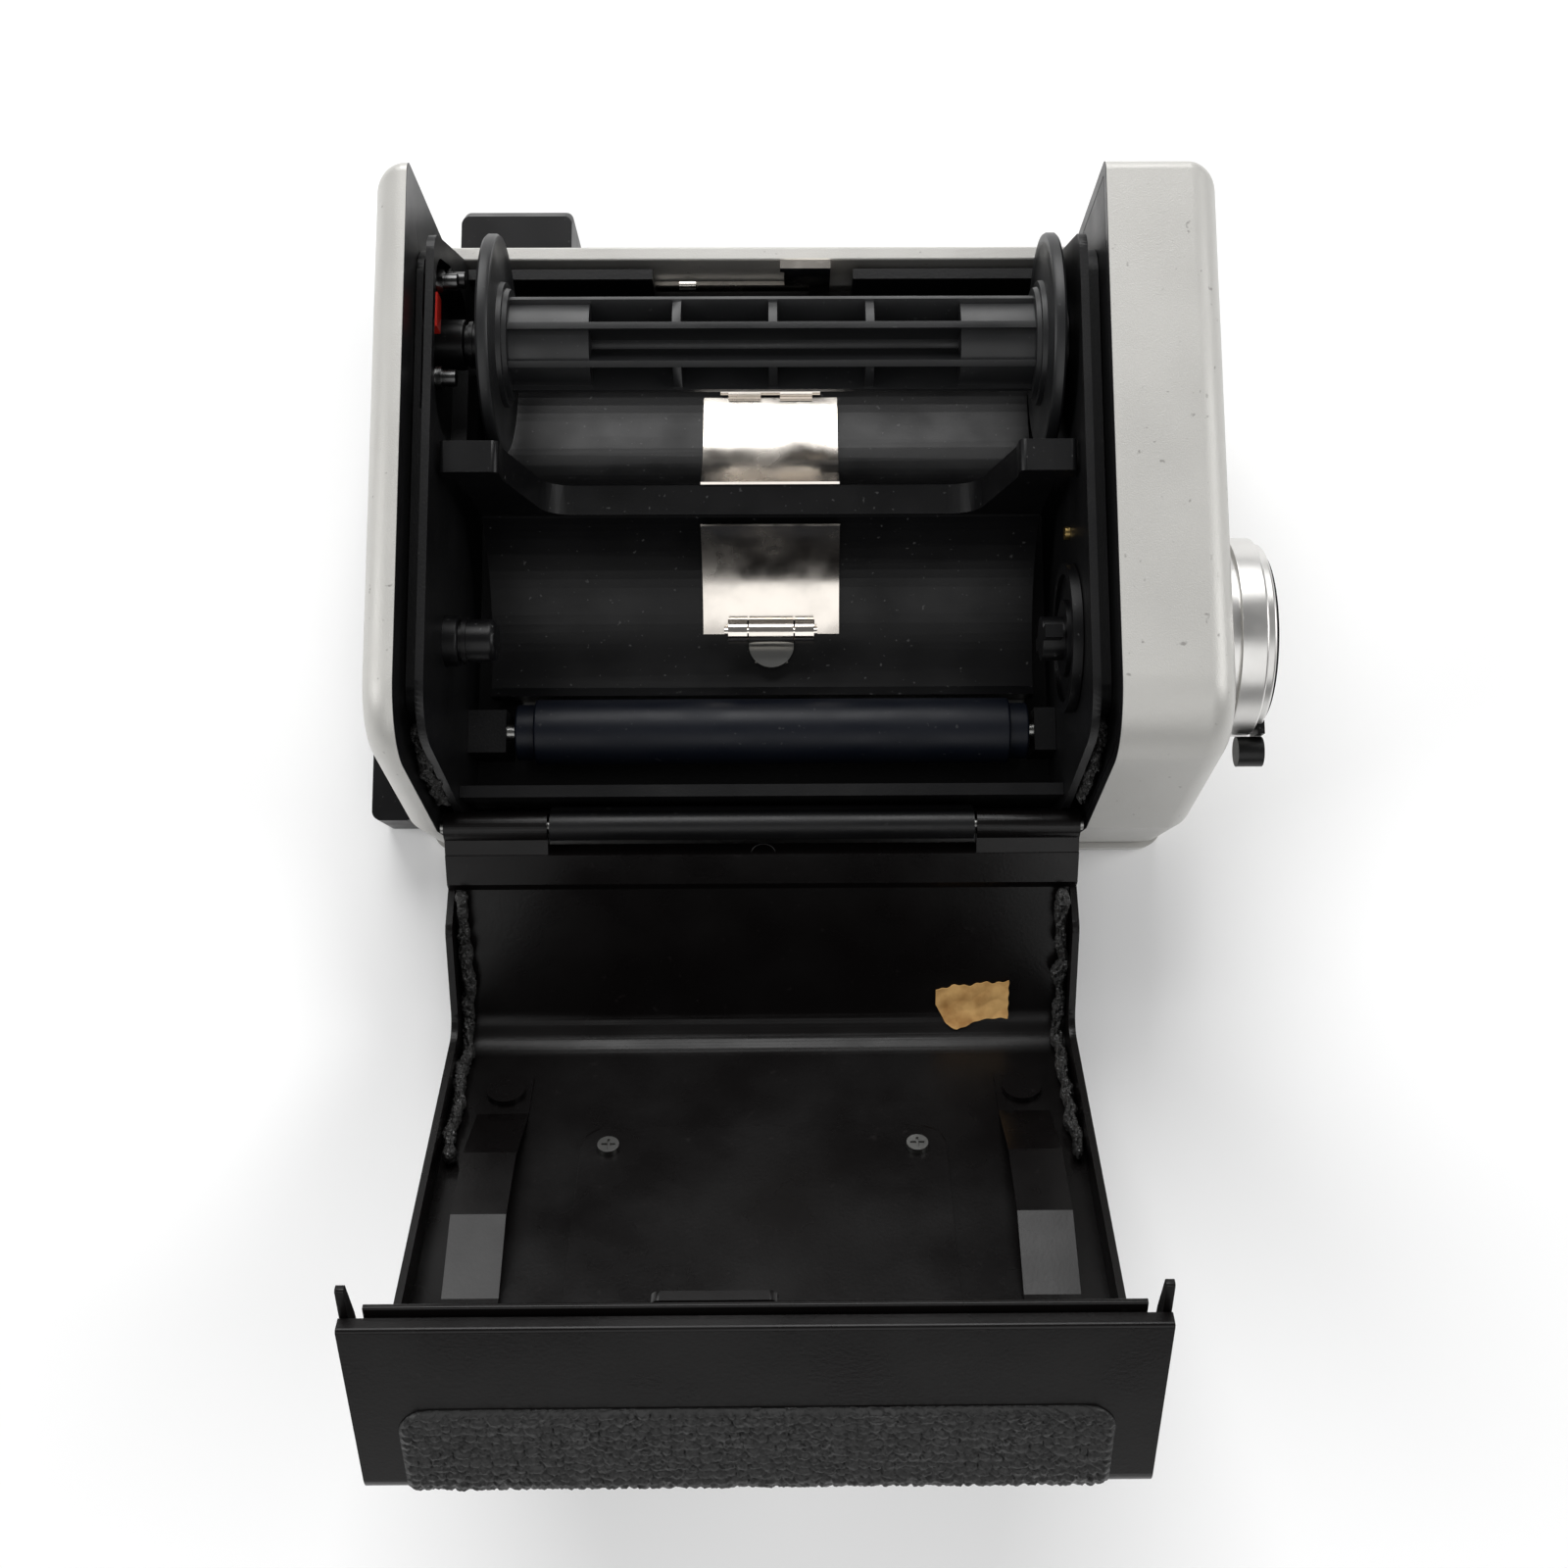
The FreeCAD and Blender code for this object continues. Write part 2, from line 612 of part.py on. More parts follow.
def roller(node, height, radius):
    """Guide roller with stepped ends and an axle bore."""
    body = new_body(node)
    big, small = dim(radius), dim(radius) - 0.6
    half, shoulder = 31.0, 28.7
    bore = 1.05
    outline = [(-half, bore, 0), (-half, small, 0.3), (-shoulder, small, 0), (-shoulder, big, 0.3),
               (shoulder, big, 0.3), (shoulder, small, 0), (half, small, 0.3), (half, bore, 0)]
    spin(body, sketch_on(body, "XY_Plane", "0", [outline]))
    place(body, "-0.1", height, "roller_z")


def roller_axles():
    axles = [rod(f"Axle{i}", "1.0", "-34.6", "68.2", height, "roller_z")
             for i, height in enumerate(("roller_low_y", "roller_up_y"))]
    group = doc.addObject("Part::Compound", "AxlePair")
    group.Links = axles
    keep("roller_axles", group)


def roller_brackets():
    """Four ears of the inner frame that hold the roller axles."""
    pieces = []
    for i, height in enumerate(("roller_low_y", "roller_up_y")):
        for k, (start, wide) in enumerate((("rib_left + 0.02", "4.6"), ("31.7", "2.6"))):
            ear = block(f"Ear{i}{k}", start, f"{height} - 2.6", "frame_z + frame_thick",
                        wide, "5.2", "8.0")
            bore = rod(f"EarBore{i}{k}", "1.0", "-34.6", "68.2", height, "roller_z")
            pieces.append(minus(f"EarCut{i}{k}", ear, bore))
    group = doc.addObject("Part::Compound", "EarSet")
    group.Links = pieces
    keep("roller_brackets", group)


# ---------------------------------------------------------------- spools and drives


def takeup_spool():
    """Ribbed plastic spool: two flanges, a core with windows between cross-bars, a film slot."""
    body = new_body("takeup_spool")
    half = dim("spool_long") / 2
    inner = half - dim("flange_thick")
    outline = [(-half, 0, 0), (-half, dim("flange_rad"), 0.5), (-inner, dim("flange_rad"), 0.4),
               (-inner, dim("core_rad"), 0), (inner, dim("core_rad"), 0),
               (inner, dim("flange_rad"), 0.4), (half, dim("flange_rad"), 0.5), (half, 0, 0)]
    spin(body, sketch_on(body, "XY_Plane", "0", [outline]))
    windows = [rectangle(left, -1.35, 9.9, 2.7) for left in (-21.6, -10.5, 0.6, 11.7)]
    groove = cut(body, sketch_on(body, "XY_Plane", "4.1", windows), "3.0", upward=True)
    ring = body.newObject("PartDesign::PolarPattern", "SpoolWindows")
    ring.Originals = [groove]
    ring.Axis = (plane_of(body, "X_Axis"), [""])
    ring.Angle = 360
    ring.Occurrences = 8
    body.Tip = ring
    left_hole = sketch_on(body, "YZ_Plane", f"{-half}", circles=[(0, 0, "3.05")])
    cut(body, left_hole, "8.0", upward=True)
    key_hole = sketch_on(body, "YZ_Plane", f"{half}", [rectangle(-0.95, -4.6, 1.9, 9.2)])
    cut(body, key_hole, "3.0")
    right_hole = sketch_on(body, "YZ_Plane", f"{half}", circles=[(0, 0, "3.05")])
    cut(body, right_hole, "8.0")
    place(body, "spool_mid_x", "spool_y", "spool_z")


def key_shaft(node, height, tip, blade_half, tail):
    """Shaft with a flat key that enters a spool's slotted end."""
    shaft = rod(node + "Shaft", "shaft_rad", str(tip), f"{tail - tip}", height, "spool_z")
    blade = block(node + "Blade", str(tip), f"{height} - 0.75", f"spool_z - {blade_half}",
                  "2.0", "1.5", f"{2 * blade_half}")
    collar = rod(node + "Collar", "4.4", "rib_right - 1.3", "1.2", height, "spool_z")
    return fused(node + "Key", [shaft, blade, collar])


def takeup_key():
    key = key_shaft("takeup", "spool_y", 30.6, 4.2, dim("gear_face"))
    keep("takeup_key", key)


def supply_drive():
    """Dished disc with a key that turns with the supply spool."""
    key = key_shaft("supply", "supply_y", 30.6, 4.2, 39.6)
    disc = rod("SupplyDisc", "8.5", "rib_right - 1.25", "1.1", "supply_y", "spool_z")
    dish = rod("SupplyDish", "7.3", "rib_right - 1.35", "0.6", "supply_y", "spool_z")
    keep("supply_drive", fused("SupplyWhole", [minus("SupplyRing", disc, dish), key]))


def plunger(node, height):
    """Sprung spool pin on the left: flange in the cover, guide, ring step and tip."""
    body = new_body(node)
    outline = [(0, 0, 0), (0, 4.2, 0.2), (0.55, 4.2, 0.2), (0.55, 2.9, 0), (5.0, 2.9, 0.3),
               (5.0, 2.3, 0), (5.4, 2.3, 0), (5.4, 2.7, 0), (5.9, 2.7, 0), (5.9, 2.45, 0),
               (9.2, 2.45, 0.8), (9.2, 0, 0)]
    spin(body, sketch_on(body, "XY_Plane", "0", [outline]))
    place(body, "left_face - 0.6", height, "spool_z")


def gauge_posts():
    """Small polished posts of the film-counter linkage in the left recess."""
    spots = ((26.6, 33.6), (24.4, 38.4), (13.2, 38.0))
    posts = [rod(f"Post{i}", "0.95", "-38.6", "3.4", str(y), str(z))
             for i, (y, z) in enumerate(spots)]
    heads = [rod(f"PostHead{i}", "1.35", "-37.4", "0.7", str(y), str(z))
             for i, (y, z) in enumerate(spots)]
    group = doc.addObject("Part::Compound", "PostSet")
    group.Links = [fused(f"PostWhole{i}", list(pair)) for i, pair in enumerate(zip(posts, heads))]
    keep("gauge_posts", group)


def gauge_flag():
    """Red flag of the film indicator."""
    keep("gauge_flag", block("Flag", "-37.95", "18.6", "37.6", "0.8", "4.0", "2.4"))


def brass_pin():
    keep("brass_pin", rod("CounterPin", "0.75", "rib_right - 0.6", "0.58", "-2.8", "30"))


# ---------------------------------------------------------------- gear train


def idler_y():
    """Height of the idler, midway between the knob and the take-up spool."""
    return (dim("spool_y") + dim("supply_y")) / 2


GEAR_TEETH = 24
IDLER_TEETH = 26


def gear(node, teeth, height, phase, bore):
    """Spur gear with straight-sided teeth, its bore given as an expression."""
    body = new_body(node)
    module = 2 * (dim("spool_y") - dim("supply_y")) / (2 * GEAR_TEETH + 2 * IDLER_TEETH)
    pitch = 2 * math.pi / teeth
    tip = module * (teeth / 2 + 0.85)
    root = module * (teeth / 2 - 1.15)
    points = []
    for tooth in range(teeth):
        middle = (tooth + phase) * pitch
        for radius, share in ((root, -0.3), (tip, -0.12), (tip, 0.12), (root, 0.3)):
            turn = middle + share * pitch
            points.append((radius * math.cos(turn), radius * math.sin(turn), 0))
    pad(body, sketch_on(body, "YZ_Plane", "0", [points]), "gear_thick")
    if bore:
        cut(body, sketch_on(body, "YZ_Plane", "0", circles=[(0, 0, bore)]), "gear_thick",
            upward=True)
    place(body, "gear_face", height, "spool_z")


def idler_stud():
    keep("idler_stud", rod("Stud", "stud_rad", "right_face", "7.0", f"{idler_y()}", "spool_z"))


def winding_knob():
    """Stepped metal knob with its shaft through the housing wall."""
    body = new_body("winding_knob")
    radius = dim("knob_rad")
    start = dim("gear_face") + dim("gear_thick")
    face = dim("right_face") + dim("right_thick") + 0.3
    outline = [(start, 0, 0), (start, dim("shaft_rad"), 0), (face, dim("shaft_rad"), 0),
               (face, radius - 0.6, 0), (face + 1.0, radius - 0.6, 0), (face + 1.0, radius, 0.2),
               (face + 4.0, radius, 0.3), (face + 4.0, radius - 0.7, 0),
               (face + 5.0, radius - 0.7, 0.3), (face + 5.0, radius - 1.6, 0),
               (face + 3.9, radius - 1.6, 0), (face + 3.9, 0, 0)]
    spin(body, sketch_on(body, "XY_Plane", "0", [outline]))
    notch = sketch_on(body, "YZ_Plane", f"{face + 3.9}", [rectangle(-radius - 1, -2.3, 5.0, 4.6)])
    cut(body, notch, "2.0", upward=True)
    place(body, "0", "supply_y", "spool_z")


def knob_insert():
    """Black disc in the knob's face, with a slot for the folded crank."""
    disc = rod("InsertDisc", "knob_rad - 1.65", "right_face + right_thick + 4.2", "1.5",
               "supply_y", "spool_z")
    slot = block("InsertSlot", "right_face + right_thick + 4.4", "supply_y - 13", "spool_z - 2.2",
                 "1.5", "17", "4.4")
    pin = doc.addObject("Part::Cylinder", "CrankPin")
    pin.Radius = 0.4
    pin.Height = 4.6
    place(pin, CRANK_X, CRANK_Y, "spool_z - 2.3")
    keep("knob_insert", fused("InsertWhole", [minus("InsertCut", disc, slot), pin]))


def knob_crank():
    """Fold-out crank arm with its small grip."""
    arm = block("CrankArm", "right_face + right_thick + 4.75", "supply_y - 11.4", "spool_z - 1.9",
                "0.8", "13.0", "3.8")
    barrel = doc.addObject("Part::Cylinder", "CrankBarrel")
    barrel.Radius = 0.68
    barrel.Height = 3.8
    place(barrel, CRANK_X, CRANK_Y, "spool_z - 1.9")
    bore = doc.addObject("Part::Cylinder", "CrankBore")
    bore.Radius = 0.45
    bore.Height = 6.0
    place(bore, CRANK_X, CRANK_Y, "spool_z - 3")
    grip = rod("CrankGrip", "1.7", "right_face + right_thick + 2.6", "2.9",
               "supply_y - 13.15", "spool_z")
    keep("knob_crank", minus("CrankBored", fused("Crank", [arm, barrel, grip]), bore))


# ---------------------------------------------------------------- latch and dark slide


def latch_button():
    """Release button on the top cover, its upper edges chamfered."""
    body = new_body("latch_button")
    section = [(35.75, 6.0, 0), (35.75, 20.0, 0), (40.6, 20.0, 0), (41.9, 18.2, 0.5),
               (41.9, 7.6, 0.8), (40.6, 6.0, 0)]
    pad(body, sketch_on(body, "YZ_Plane", "-38.2", [section]), "13.6")
    round_edges(body, "0.9", lambda edge: edge.Length > 4 and abs(
        edge.Vertexes[0].X - edge.Vertexes[-1].X) < 1e-4 and all(v.Y > 39 for v in edge.Vertexes))


def latch_bar():
    """Slide under the top cover: post to the button, strip, and the tooth that holds the door."""
    tooth = block("LatchTooth", "1.1", "31.9", "flange_edge + 0.6", "6.1", "1.05", "1.2")
    lip = block("LatchLip", "1.6", "31.9", "flange_edge - 3.5", "5.6", "1.05", "4.6")
    riser = block("LatchRiser", "4.6", "31.9", "14.9", "2.6", "1.8", "flange_edge - 17.6")
    strip = block("LatchStrip", "-32.0", "33.2", "12.6", "39.2", "0.5", "3.4")
    post = block("LatchPost", "-31.4", "33.4", "13.0", "3.0", "2.35", "1.6")
    keep("latch_bar", fused("LatchSlide", [tooth, lip, riser, strip, post]))


def top_rivet():
    keep("top_rivet", rod("TopRivet", "0.55", "-11.2", "2.0", "31.0", "top_edge_z - 0.9"))


def dark_slide_blade():
    blade = block("Blade", "-45.0", "gate_mid_y - 28.8", "3.0", "76.0", "57.6", "0.5")
    keep("dark_slide_blade", blade)


def dark_slide_handle():
    """Molded grip at the end of the dark slide, outside the left cover."""
    body = new_body("dark_slide_handle")
    grip = rectangle(-49.4, -33.2, 5.4, 66.4, 1.2)
    pad(body, sketch_on(body, "XY_Plane", "0.4", [grip]), "9.0")
    slit = rectangle(-45.0, dim("gate_mid_y") - 28.8, 1.5, 57.6)
    cut(body, sketch_on(body, "XY_Plane", "3.5", [slit]), "0.5")


# ---------------------------------------------------------------- door (drawn closed)


def open_door(thing):
    """Turn a piece drawn in the closed door to the door's open stop."""
    turn = FreeCAD.Rotation(Vec(1, 0, 0), dim("door_open"))
    hinge = Vec(0, dim("hinge_y"), dim("hinge_z"))
    thing.Placement = FreeCAD.Placement(Vec(), turn, hinge).multiply(thing.Placement)
    return thing


def door_shell():
    """Bent sheet: sloped foot, rear panel, top flange, side returns, tongue and hinge barrels."""
    body = new_body("door_shell")
    skin = dim("door_skin")
    start = 20.2
    outer = [(slope_y(start, 0), start, 0),
             (dim("rear_corner_y"), dim("body_depth"), 6.0),
             (dim("top_y"), dim("body_depth"), 2.6),
             (dim("top_y"), dim("flange_edge"), 0.4)]
    inner_rear = dim("body_depth") - skin
    inner = [(dim("top_y") - skin, dim("flange_edge"), 0),
             (dim("top_y") - skin, inner_rear, 1.1),
             (slope_y(inner_rear, skin), inner_rear, 4.5),
             (slope_y(25.0, skin), 25.0, 0),
             (slope_y(23.9, skin + 0.7), 23.9, 0),
             (slope_y(start, skin + 0.7), start, 0)]
    pad(body, sketch_on(body, "YZ_Plane", "door_left", [outer + inner]), "door_wide")
    deep = skin + dim("return_deep")
    side = [(slope_y(24.5, skin - 0.3), 24.5, 0),
            (slope_y(dim("body_depth") - skin + 0.3, skin - 0.3), dim("body_depth") - skin + 0.3, 4.8),
            (dim("top_y") - skin + 0.3, dim("body_depth") - skin + 0.3, 1.2),
            (dim("top_y") - skin + 0.3, dim("flange_edge") + 0.6, 0),
            (33.7, dim("flange_edge") + 0.6, 0),
            (33.7, 19.4, 0.3), (32.9, 19.4, 0.3), (31.6, 24.5, 2.0),
            (dim("top_y") - deep, 36.0, 3.0),
            (dim("top_y") - deep, dim("body_depth") - deep, 3.0),
            (slope_y(dim("body_depth") - deep, deep), dim("body_depth") - deep, 3.0),
            (slope_y(27.5, deep), 27.5, 2.0)]
    for left in ("door_left", "door_left + door_wide - 0.8"):
        pad(body, sketch_on(body, "YZ_Plane", left, [side]), "0.8")
    edge = dim("flange_edge")
    tongue = [(34.3, edge + 4.0, 0), (33.1, edge + 3.5, 0), (33.1, edge - 0.8, 0.2),
              (33.7, edge - 0.8, 0.2), (33.7, edge + 0.4, 0), (34.3, edge + 0.4, 0)]
    pad(body, sketch_on(body, "YZ_Plane", "door_left + 2.2", [tongue]), "door_wide - 4.4")
    for left, wide in (("door_left", "12.2"), ("door_left + door_wide - 12.2", "12.2")):
        ring = [(dim("hinge_y"), dim("hinge_z"), "barrel_rad"),
                (dim("hinge_y"), dim("hinge_z"), "pin_rad + 0.1")]
        pad(body, sketch_on(body, "YZ_Plane", left, circles=ring), wide)
        web = [(-36.3, 18.5, 0), (-33.6, 18.5, 0), (slope_y(20.6, skin + 0.6), 20.6, 0),
               (slope_y(20.6, 0.1), 20.6, 0)]
        pad(body, sketch_on(body, "YZ_Plane", left, [web]), wide)


def door_leather():
    """Grained covering over the rear panel, turned round the top corner onto the flange."""
    body = new_body("door_leather")
    top, rear, thick = dim("top_y"), dim("body_depth"), 0.5
    section = [(top, 33.2, 0), (top + thick, 33.2, 0), (top + thick, rear + thick, 3.0),
               (-23.0, rear + thick, 0), (-23.0, rear, 0), (top, rear, 2.6)]
    pad(body, sketch_on(body, "YZ_Plane", "door_left + 4.2", [section]), "door_wide - 8.4")
    round_edges(body, "2.5", lambda edge: abs(edge.Length - thick) < 0.4 and all(
        v.Z < 34 and v.Y > 35 for v in edge.Vertexes) and abs(
        edge.Vertexes[0].X - edge.Vertexes[-1].X) < 1e-4 and abs(
        edge.Vertexes[0].Y - edge.Vertexes[-1].Y) > 0.1)


def memo_frame():
    """Folded frame on the door's outside that holds a film-box end."""
    body = new_body("memo_frame")
    rear = dim("body_depth") + 0.5
    ring = [rectangle(-22.0, -11.0, 41.6, 40.0, 2.0), rectangle(-18.4, -7.4, 34.4, 36.4 - 0.8, 1.0)]
    pad(body, sketch_on(body, "XY_Plane", f"{rear}", ring), "1.4")


def memo_backing():
    """Raised plate inside the door that backs the memo frame."""
    body = new_body("memo_backing")
    plate = rectangle(-22.2, -12.0, 42.0, 42.0, 3.0)
    pad(body, sketch_on(body, "XY_Plane", "body_depth - door_skin - 0.5", [plate]), "0.5")


def memo_screws():
    """Four small cross-head screws that hold the memo frame through the door."""
    pieces = []
    rear = dim("body_depth") - dim("door_skin")
    for index, (x, y) in enumerate([(x, y) for x in (-19.0, 16.4) for y in (-8.6, 26.6)]):
        head = doc.addObject("Part::Cylinder", f"MemoHead{index}")
        head.Radius = 1.25
        head.Height = 0.7
        place(head, str(x), str(y), f"{rear - 1.2}")
        bars = [block(f"MemoSlot{index}{k}", f"{x} - {a}", f"{y} - {b}", f"{rear - 1.3}",
                      f"{2 * a}", f"{2 * b}", "0.4")
                for k, (a, b) in enumerate(((0.8, 0.15), (0.15, 0.8)))]
        pieces.append(minus(f"MemoScrew{index}", head, fused(f"MemoCross{index}", bars)))
    group = doc.addObject("Part::Compound", "MemoScrewSet")
    group.Links = pieces
    keep("memo_screws", group)


def door_spring(node, left):
    """Bent leaf that holds the film insert's tab down when the door is shut."""
    body = new_body(node)
    flat = dim("body_depth") - dim("door_skin")
    thick = 0.35
    run = [(-21.0, flat), (-14.5, flat), (-4.6, 40.9), (4.8, 40.7), (13.6, 43.9), (27.0, 43.9)]
    back = [(y, z - thick) for y, z in reversed(run)]
    outline = [(y, z, 0) for y, z in run + back]
    pad(body, sketch_on(body, "YZ_Plane", str(left), [outline]), "6.0")


def spring_rivets():
    """Round-headed rivets of the two leaves."""
    pieces = []
    flat = dim("body_depth") - dim("door_skin") - 0.35
    for index, x in enumerate((-31.8, 29.3)):
        head = doc.addObject("Part::Cylinder", f"RivetHead{index}")
        head.Radius = 2.3
        head.Height = 0.8
        place(head, str(x), "-18.0", f"{flat - 0.8}")
        pieces.append(head)
    group = doc.addObject("Part::Compound", "RivetSet")
    group.Links = pieces
    keep("spring_rivets", group)


def catch_tab():
    """Slotted catch on the door's tongue that the latch tooth enters."""
    body = new_body("catch_tab")
    outline = rectangle(-10.9, dim("flange_edge") - 0.9, 11.6, 7.2, 0.8)
    pad(body, sketch_on(body, "XZ_Plane", "-33.1", [outline]), "1.1")
    slot = rectangle(-9.0, dim("flange_edge") + 0.3, 12.0, 1.8, 0)
    cut(body, sketch_on(body, "XZ_Plane", "-33.1", [slot]), "1.2", upward=True)


def door_foam():
    """Light-seal foam along both sides of the door."""
    skin = dim("door_skin")
    pieces = []
    for index, left in enumerate(("door_left + 0.9", "door_left + door_wide - 2.7")):
        body = doc.addObject("PartDesign::Body", f"DoorFoamStrip{index}")
        rear = dim("body_depth") - skin
        strip = [(slope_y(26.0, skin), 26.0, 0), (slope_y(rear, skin), rear, 4.5),
                 (-4.0, rear, 0), (-4.0, rear - 0.55, 0),
                 (slope_y(rear - 0.55, skin + 0.55), rear - 0.55, 4.0),
                 (slope_y(26.0, skin + 0.55), 26.0, 0)]
        pad(body, sketch_on(body, "YZ_Plane", left, [strip]), "1.8")
        pieces.append(body)
    group = doc.addObject("Part::Compound", "DoorFoamPair")
    group.Links = pieces
    keep("door_foam", group)


def paper_scrap():
    """Torn scrap of masking tape stuck inside the door's sloped foot."""
    point_y, point_z, grade = slope_line(dim("door_skin"))
    tilt = math.atan2(1.0, grade)
    along = Vec(0, math.cos(tilt), math.sin(tilt))
    across = Vec(0, math.sin(tilt), -math.cos(tilt))
    origin = Vec(20.0, slope_y(35.2, dim("door_skin")), 35.2)
    outline = [(0.6, 0.8), (4.6, 0.2), (8.9, 0.0), (9.1, 4.0), (4.0, 4.7), (2.0, 5.2), (0.0, 2.8)]
    points = [origin + Vec(u, 0, 0) + along * v for u, v in outline]
    face = Part.Face(Part.makePolygon(points + points[:1]))
    scrap = doc.addObject("Part::Feature", "PaperScrap")
    scrap.Shape = face.extrude(across * 0.25)
    keep("paper_scrap", scrap)


def hinge_bar():
    """Middle knuckle of the door hinge, on an arm from the inner frame."""
    body = new_body("hinge_bar")
    ring = [(dim("hinge_y"), dim("hinge_z"), "barrel_rad"), (dim("hinge_y"), dim("hinge_z"), "pin_rad")]
    pad(body, sketch_on(body, "YZ_Plane", "-26.4", circles=ring), "50.2")
    arm = [(-34.95, 4.4, 0), (-32.5, 4.4, 0), (-32.5, 17.0, 0.8), (-33.9, 18.0, 0),
           (-34.3, 16.4, 0), (-34.95, 16.2, 0)]
    pad(body, sketch_on(body, "YZ_Plane", "-26.4", [arm]), "50.2")


def hinge_pin():
    pin = rod("HingePin", "pin_rad", "door_left - 0.5", "door_wide + 1.0", "hinge_y", "hinge_z")
    keep("hinge_pin", pin)


def body_foam():
    """Remains of the light-seal foam on the channel floors beside the hinge."""
    pieces = []
    for index, left in enumerate(("left_face + 0.15", "rib_right + rib_thick + 0.05")):
        body = doc.addObject("PartDesign::Body", f"BodyFoamStrip{index}")
        far, near = dim("base_inset") - 0.5, dim("base_inset")
        strip = [(slope_y(28.0, far), 28.0, 0), (slope_y(37.0, far), 37.0, 0),
                 (slope_y(37.0, near), 37.0, 0), (slope_y(28.0, near), 28.0, 0)]
        pad(body, sketch_on(body, "YZ_Plane", left, [strip]), "1.6")
        pieces.append(body)
    group = doc.addObject("Part::Compound", "BodyFoamPair")
    group.Links = pieces
    keep("body_foam", group)


# ---------------------------------------------------------------- build


def build():
    left_side_cover()
    right_gear_housing()
    top_cover()
    bottom_cover()
    mount_plate()
    mount_plate_screws()
    front_frame()
    film_rails()
    slide_guides()
    liner("left_liner", "rib_left", -1, True)
    liner("right_liner", "rib_right", 1, False)
    mechanism_plate()
    film_insert()
    pressure_plate()
    pressure_springs()
    lower_spring_plate()
    upper_spring_plate()
    spring_bracket()
    leaf_pins()
    spring_screw()
    roller("lower_roller", "roller_low_y", "roller_low_rad")
    roller("upper_roller", "roller_up_y", "roller_up_rad")
    roller_axles()
    roller_brackets()
    takeup_spool()
    takeup_key()
    supply_drive()
    plunger("supply_plunger", "supply_y")
    plunger("takeup_plunger", "spool_y")
    gauge_posts()
    gauge_flag()
    brass_pin()
    gear("knob_gear", GEAR_TEETH, "supply_y", 0.0, "")
    gear("idler_gear", IDLER_TEETH, f"{idler_y()}", 0.5, "stud_rad + play")
    gear("takeup_gear", GEAR_TEETH, "spool_y", 0.0, "")
    idler_stud()
    winding_knob()
    knob_insert()
    knob_crank()
    latch_button()
    latch_bar()
    top_rivet()
    dark_slide_blade()
    dark_slide_handle()
    door_shell()
    door_leather()
    memo_frame()
    memo_backing()
    memo_screws()
    door_spring("door_spring_left", -34.8)
    door_spring("door_spring_right", 26.3)
    spring_rivets()
    catch_tab()
    door_foam()
    paper_scrap()
    hinge_bar()
    hinge_pin()
    body_foam()
    doc.recompute()


DOOR_NODES = ("door_shell", "door_leather", "memo_frame", "memo_backing", "memo_screws",
              "door_spring_left", "door_spring_right", "spring_rivets", "catch_tab",
              "door_foam", "paper_scrap")


def check():
    """Stop on any failed feature or bad sub-part."""
    for item in doc.Objects:
        if "Invalid" in item.State or "Error" in item.State:
            raise RuntimeError(f"{item.Label}: {item.State}")
    for node, thing in NODES.items():
        shape = thing.Shape
        if shape.isNull() or not shape.isValid() or not shape.Solids:
            raise RuntimeError(f"{node}: no valid solid")


def export():
    os.makedirs("parts", exist_ok=True)
    for node, thing in NODES.items():
        thing.Shape.exportStep(os.path.join("parts", node + ".step"))


build()
for door_node in DOOR_NODES:
    open_door(NODES[door_node])
doc.recompute()
check()
export()
print(len(NODES), "sub-parts written")
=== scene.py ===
"""Looks of the roll-film magazine: finishes, soft pieces, fine moulded detail, camera and light."""

import json
import logging
import math
from dataclasses import dataclass, field
from enum import Enum
from typing import ClassVar

import bmesh
import bpy
import numpy as np
from mathutils import Euler, Matrix, Vector

